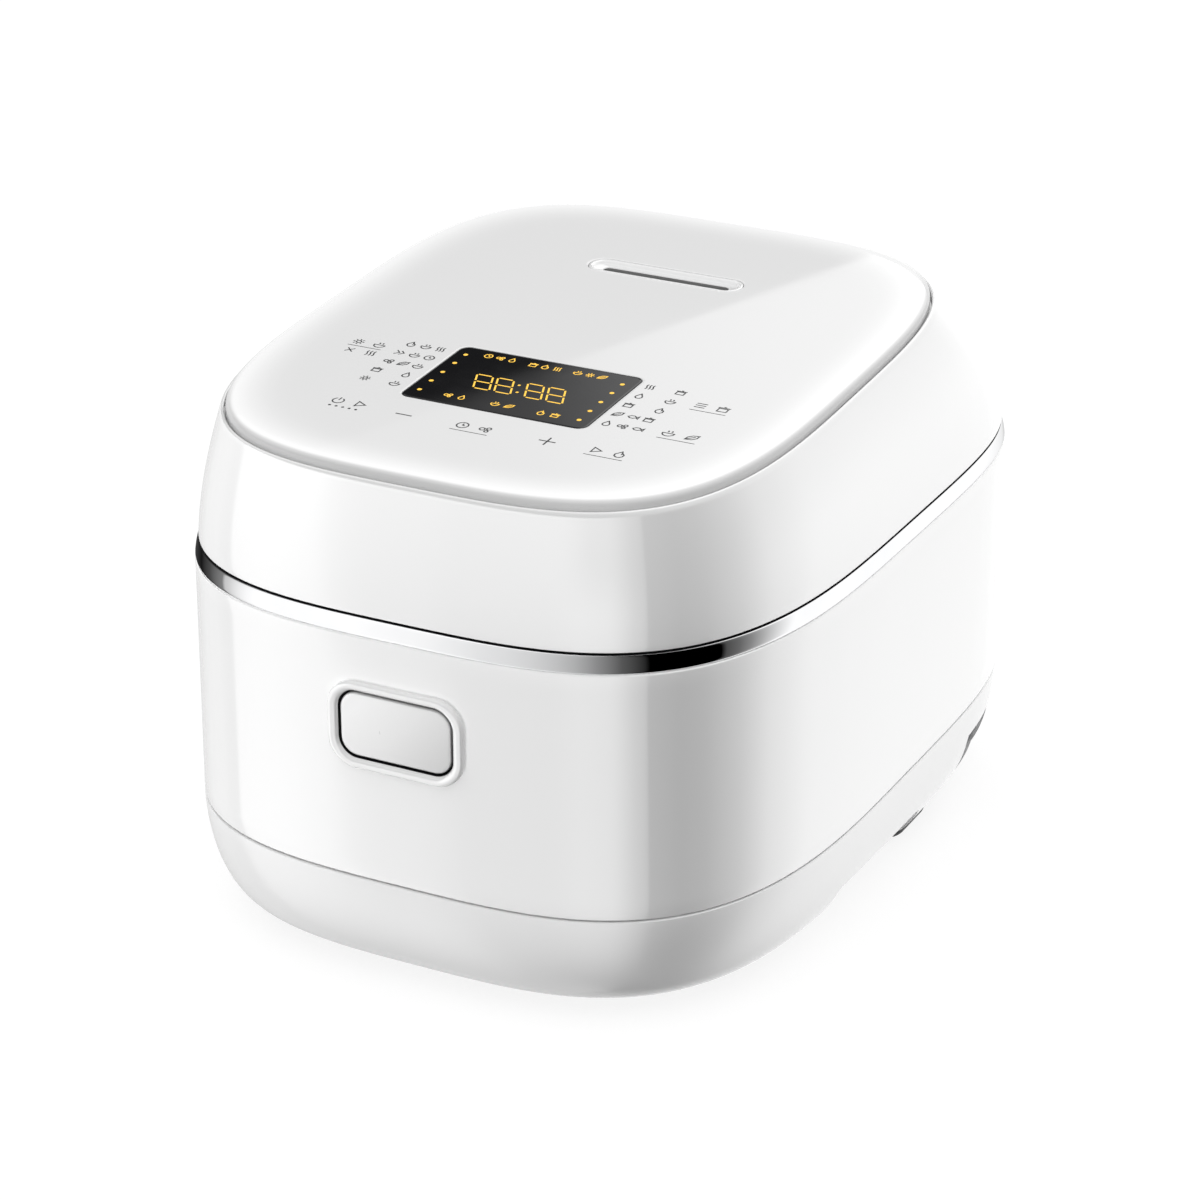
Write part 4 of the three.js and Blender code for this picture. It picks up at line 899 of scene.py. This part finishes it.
parts += [ribbon([(29.0, -106.6), (36.0, -106.6)], 0.7), ribbon([(32.5, -110.0), (32.5, -103.2)], 0.7)]
row(("play", "flame"), 53.0, -106.2, 2.6, 9.6)
rule(49.8, 65.8, -110.8)
piece(raw("panel_print", merge(*parts)), "lid", M["print_grey"], ())

# lit segments and lamps of the display
parts = []
for y in (-47.1, -56.0, -65.6, -74.7, -83.9):
    parts.append(disc(-35.2, y, 0.95))
for y in (-48.2, -57.1, -66.4, -75.5, -84.5):
    parts.append(disc(34.4, y, 0.95))


LEAN = 0.39


def seg7(x, w=7.0, y0=-74.0, y1=-61.9, g=0.35, lw=0.72):
    """One leaning seven-segment figure, its top left corner at x."""
    out = []
    ym = (y0 + y1) / 2
    P = lambda px, py: (px + LEAN * (y1 - py), py)
    for yy in (y0, ym, y1):
        out.append(ribbon([P(x + g + 0.3, yy), P(x + w - g - 0.3, yy)], lw))
    for xx in (x, x + w):
        for ya, yb in ((y0, ym), (ym, y1)):
            out.append(ribbon([P(xx, ya + g + 0.25), P(xx, yb - g - 0.25)], lw))
    return out


for x in (-21.8, -12.6, 0.6, 9.9):
    parts += seg7(x)
parts += [disc(-1.7, -65.0, 0.62), disc(0.7, -71.2, 0.62)]
for x, y, kinds in ((-26.2, -44.7, ("clock", "grain", "drop")), (-6.0, -45.3, ("pot", "flame", "steam")), (13.6, -45.3, ("bowl", "warm", "leaf"))):
    for k, kind in enumerate(kinds):
        parts += icon(kind, x + 5.3 * k, y, 1.85, 0.46)
for x, y, kinds in ((-22.4, -84.2, ("grain", "drop")), (-1.8, -84.2, ("bowl", "leaf")), (18.2, -84.6, ("flame", "pot"))):
    for k, kind in enumerate(kinds):
        parts += icon(kind, x + 6.0 * k, y, 1.85, 0.46)
piece(raw("display_segments", merge(*parts)), "lid", M["amber"], ())

# ------------------------------------------- finishes of the CAD nodes that stay
slot_of = {}
for m in frame["record"].get("materials", []):
    for n in m.get("nodes", []):
        slot_of[n] = m["slot"]
for name, ob in NODES.items():
    if ob.hide_render:
        continue
    mat = M.get(slot_of.get(name, ""), M["liner_grey"])
    for s in ob.material_slots:
        s.material = mat
    if not ob.material_slots:
        ob.data.materials.append(mat)
    if name in ("latch_lever", "lid_striker", "plate_clip_left", "plate_clip_right", "ac_inlet", "inlet_pin_1", "inlet_pin_2", "inlet_pin_3", "latch_bracket", "steam_well"):
        w = ob.modifiers.new("weld", "WELD")
        w.merge_threshold = 0.00001
        soften(ob, 0.35 if "pin" not in name else 0.25, 2, 35)

# --------------------------------------------------------------------- studio
scene = bpy.context.scene
scene.view_settings.view_transform = "Standard"
scene.view_settings.look = "None"

az, el, dist = math.radians(27.131), math.radians(24.153), 1.5422
back = Vector((math.sin(az) * math.cos(el), -math.cos(az) * math.cos(el), math.sin(el)))
target = Vector((0.0, Y_SHIFT * MM, 0.1028))
cam_data = bpy.data.cameras.new("camera")
cam_data.lens, cam_data.sensor_width, cam_data.sensor_fit = 112.17, 36.0, "AUTO"
cam_data.clip_start, cam_data.clip_end = 0.05, 60
cam = bpy.data.objects.new("camera", cam_data)
scene.collection.objects.link(cam)
cam.location = target + back * dist
cam.rotation_euler = (-back).to_track_quat("-Z", "Y").to_euler()
scene.camera = cam

# floor
fv, ff = [], []
for k, rr in enumerate((0.0, 0.4, 1.2, 4.0, 12.0)):
    for i in range(64):
        a = 2 * math.pi * i / 64
        fv.append((rr * math.cos(a), rr * math.sin(a), -0.0002))
for k in range(1, 4):
    for i in range(64):
        j = (i + 1) % 64
        ff.append((k * 64 + i, k * 64 + j, (k + 1) * 64 + j, (k + 1) * 64 + i))
ff.append(tuple(range(64, 128)))
fm = bpy.data.meshes.new("floor")
fm.from_pydata(fv[:], [], ff)
fm.validate()
floor = bpy.data.objects.new("floor", fm)
scene.collection.objects.link(floor)
t = Tree("floor_pale").set(rough=0.9, spec=0.0, emission=(1, 1, 1, 1), strength=0.84)
t.base(t.ramp(t.noise(3.0, 2.0), [(0.3, (0.2, 0.2, 0.2)), (0.7, (0.21, 0.21, 0.21))]))
fm.materials.append(t.m)
floor.visible_diffuse = False
floor.visible_glossy = False
floor.visible_transmission = False
floor.visible_shadow = False


# world: soft studio surroundings, a function of direction only
def build_world(white_stops, low_stops, mirror_stops, top, dome, under):
    w = bpy.data.worlds.new("studio")
    scene.world = w
    w.use_nodes = True
    nt = w.node_tree
    nt.nodes.clear()

    def N(kind, **p):
        n = nt.nodes.new(kind)
        for k, v in p.items():
            setattr(n, k, v)
        return n

    def L(a, b):
        nt.links.new(a, b)

    def mth(op, a, b=None, c=None, clamp=False):
        n = N("ShaderNodeMath", operation=op, use_clamp=clamp)
        for i, v in enumerate((a, b, c)):
            if v is None:
                continue
            if isinstance(v, (int, float)):
                n.inputs[i].default_value = v
            else:
                L(v, n.inputs[i])
        return n.outputs[0]

    def ramp(fac, stops, scale, interp="LINEAR"):
        r = N("ShaderNodeValToRGB")
        r.color_ramp.interpolation = interp
        e = r.color_ramp.elements
        while len(e) < len(stops):
            e.new(0.5)
        for i, (p, v) in enumerate(stops):
            e[i].position = p
            e[i].color = (v / scale,) * 3 + (1,)
        L(fac, r.inputs[0])
        return mth("MULTIPLY", r.outputs[0], scale)

    def smooth(x, a, b):
        n = N("ShaderNodeMapRange", interpolation_type="SMOOTHSTEP")
        for i, v in zip((1, 2, 3, 4), (a, b, 0.0, 1.0)):
            n.inputs[i].default_value = v
        L(x, n.inputs[0])
        return n.outputs[0]

    def blend_(f, a, b):  # a at 0, b at 1
        return mth("ADD", mth("MULTIPLY", mth("SUBTRACT", 1.0, f), a), mth("MULTIPLY", f, b))

    co = N("ShaderNodeTexCoord").outputs["Generated"]
    sep = N("ShaderNodeSeparateXYZ")
    L(co, sep.inputs[0])
    X, Y, Z = sep.outputs
    turn = mth("ADD", mth("DIVIDE", mth("ARCTAN2", X, mth("MULTIPLY", Y, -1.0)), 2 * math.pi), 0.5)
    rel = mth("DEGREES", mth("ARCSINE", Z))
    q = lambda d: d / 360 + 0.5
    wall = ramp(turn, [(q(d), v) for d, v in white_stops], max(v for _, v in white_stops))
    # fades under the horizon, far below
    low = ramp(turn, [(q(d), v) for d, v in low_stops], max(v for _, v in low_stops))
    wall = blend_(smooth(rel, -35.0, -75.0), wall, low)
    # the right-hand light stops a little above eye level
    right = mth("MULTIPLY", smooth(rel, -10.0, 4.0), smooth(X, 0.0, 0.35))
    wall = mth("MULTIPLY", wall, blend_(right, 1.0, 0.78))
    # overhead: a bright sheet whose lower edge shows in the top panel
    m = N("ShaderNodeVectorMath", operation="DOT_PRODUCT")
    L(co, m.inputs[0])
    m.inputs[1].default_value = top["plane"]
    side = smooth(m.outputs["Value"], top["soft"][0], top["soft"][1])
    up = blend_(side, top["dark"], ramp(turn, [(q(d), v) for d, v in top["light"]], max(v for _, v in top["light"])))
    white = blend_(smooth(rel, 12.0, 20.0), wall, up)
    mirror = ramp(turn, [(q(d), v) for d, v in mirror_stops], max(v for _, v in mirror_stops), "LINEAR")
    lp = N("ShaderNodeLightPath")
    ambient = blend_(smooth(rel, -6.0, 4.0), under, blend_(smooth(rel, 25.0, 75.0), dome, dome * 1.37))
    gloss = blend_(lp.outputs["Is Singular Ray"], white, mirror)
    val = blend_(lp.outputs["Is Glossy Ray"], ambient, gloss)
    val = blend_(lp.outputs["Is Camera Ray"], val, 1.0)
    bg = N("ShaderNodeBackground")
    comb = N("ShaderNodeCombineColor")
    for i in range(3):
        L(val, comb.inputs[i])
    L(comb.outputs[0], bg.inputs["Color"])
    bg.inputs["Strength"].default_value = 1.0
    out = N("ShaderNodeOutputWorld")
    L(bg.outputs[0], out.inputs[0])


def direction(raz, rel):
    raz, rel = math.radians(raz), math.radians(rel)
    return Vector((math.sin(raz) * math.cos(rel), -math.cos(raz) * math.cos(rel), math.sin(rel)))


split = direction(-155.6, 24.75).cross(direction(-148.6, 26.6)).normalized()
if split.z < 0:
    split = -split
WHITE = [(-180, 1.3), (-165, 1.15), (-150, 0.95), (-137, 0.82), (-124, 1.02), (-106, 1.55), (-94, 1.95), (-84, 2.2), (-79, 2.35), (-77, 3.0), (-66, 3.5), (-56, 3.9), (-46, 4.1), (-37, 4.05), (-34, 3.65), (-30, 3.3), (-25, 2.98), (0, 3.0), (13, 3.2), (29, 3.0),
         (36.5, 2.35), (42, 1.8), (49, 1.3), (50.5, 0.5), (70, 0.15), (84, 0.35), (104, 1.2), (120, 2.2), (137, 2.4), (154, 1.9), (167, 1.55), (180, 1.3)]
MIRROR = [(-180, 0.9), (-142, 0.07), (-112, 0.008), (-97, 0.07), (-85, 0.19), (-81, 0.23), (-79.5, 0.58), (-75, 0.67), (-68, 0.88), (-62, 1.02), (-57, 1.09), (-30, 1.09), (-26, 0.96), (-20, 0.84), (-13, 0.78), (-6, 0.695), (2, 0.6), (11, 0.475), (22, 0.278), (35, 0.1), (48, 0.02), (50, 0.0), (92, 0.0), (94, 0.075), (101, 0.137), (107, 0.257), (112, 0.417), (117, 0.63), (122, 0.86), (126, 1.08), (160, 1.08), (180, 0.9)]
TOP = dict(plane=tuple(split), soft=(-0.0006, 0.0006), dark=0.03, light=[(-180, 1.45), (-157, 1.45), (-155, 1.3), (-153.6, 1.1), (-152.5, 0.9), (-151, 0.6), (-150, 0.3), (-146, 0.3), (-120, 0.5), (-60, 0.7), (60, 0.7), (150, 1.6), (180, 1.9)])
LOW = [(-180, 1.1), (-150, 1.3), (-110, 1.8), (-60, 2.0), (-20, 2.0), (20, 1.6), (60, 0.9), (100, 0.75), (150, 0.75), (180, 1.1)]
build_world(WHITE, LOW, MIRROR, TOP, 0.96, 0.03)
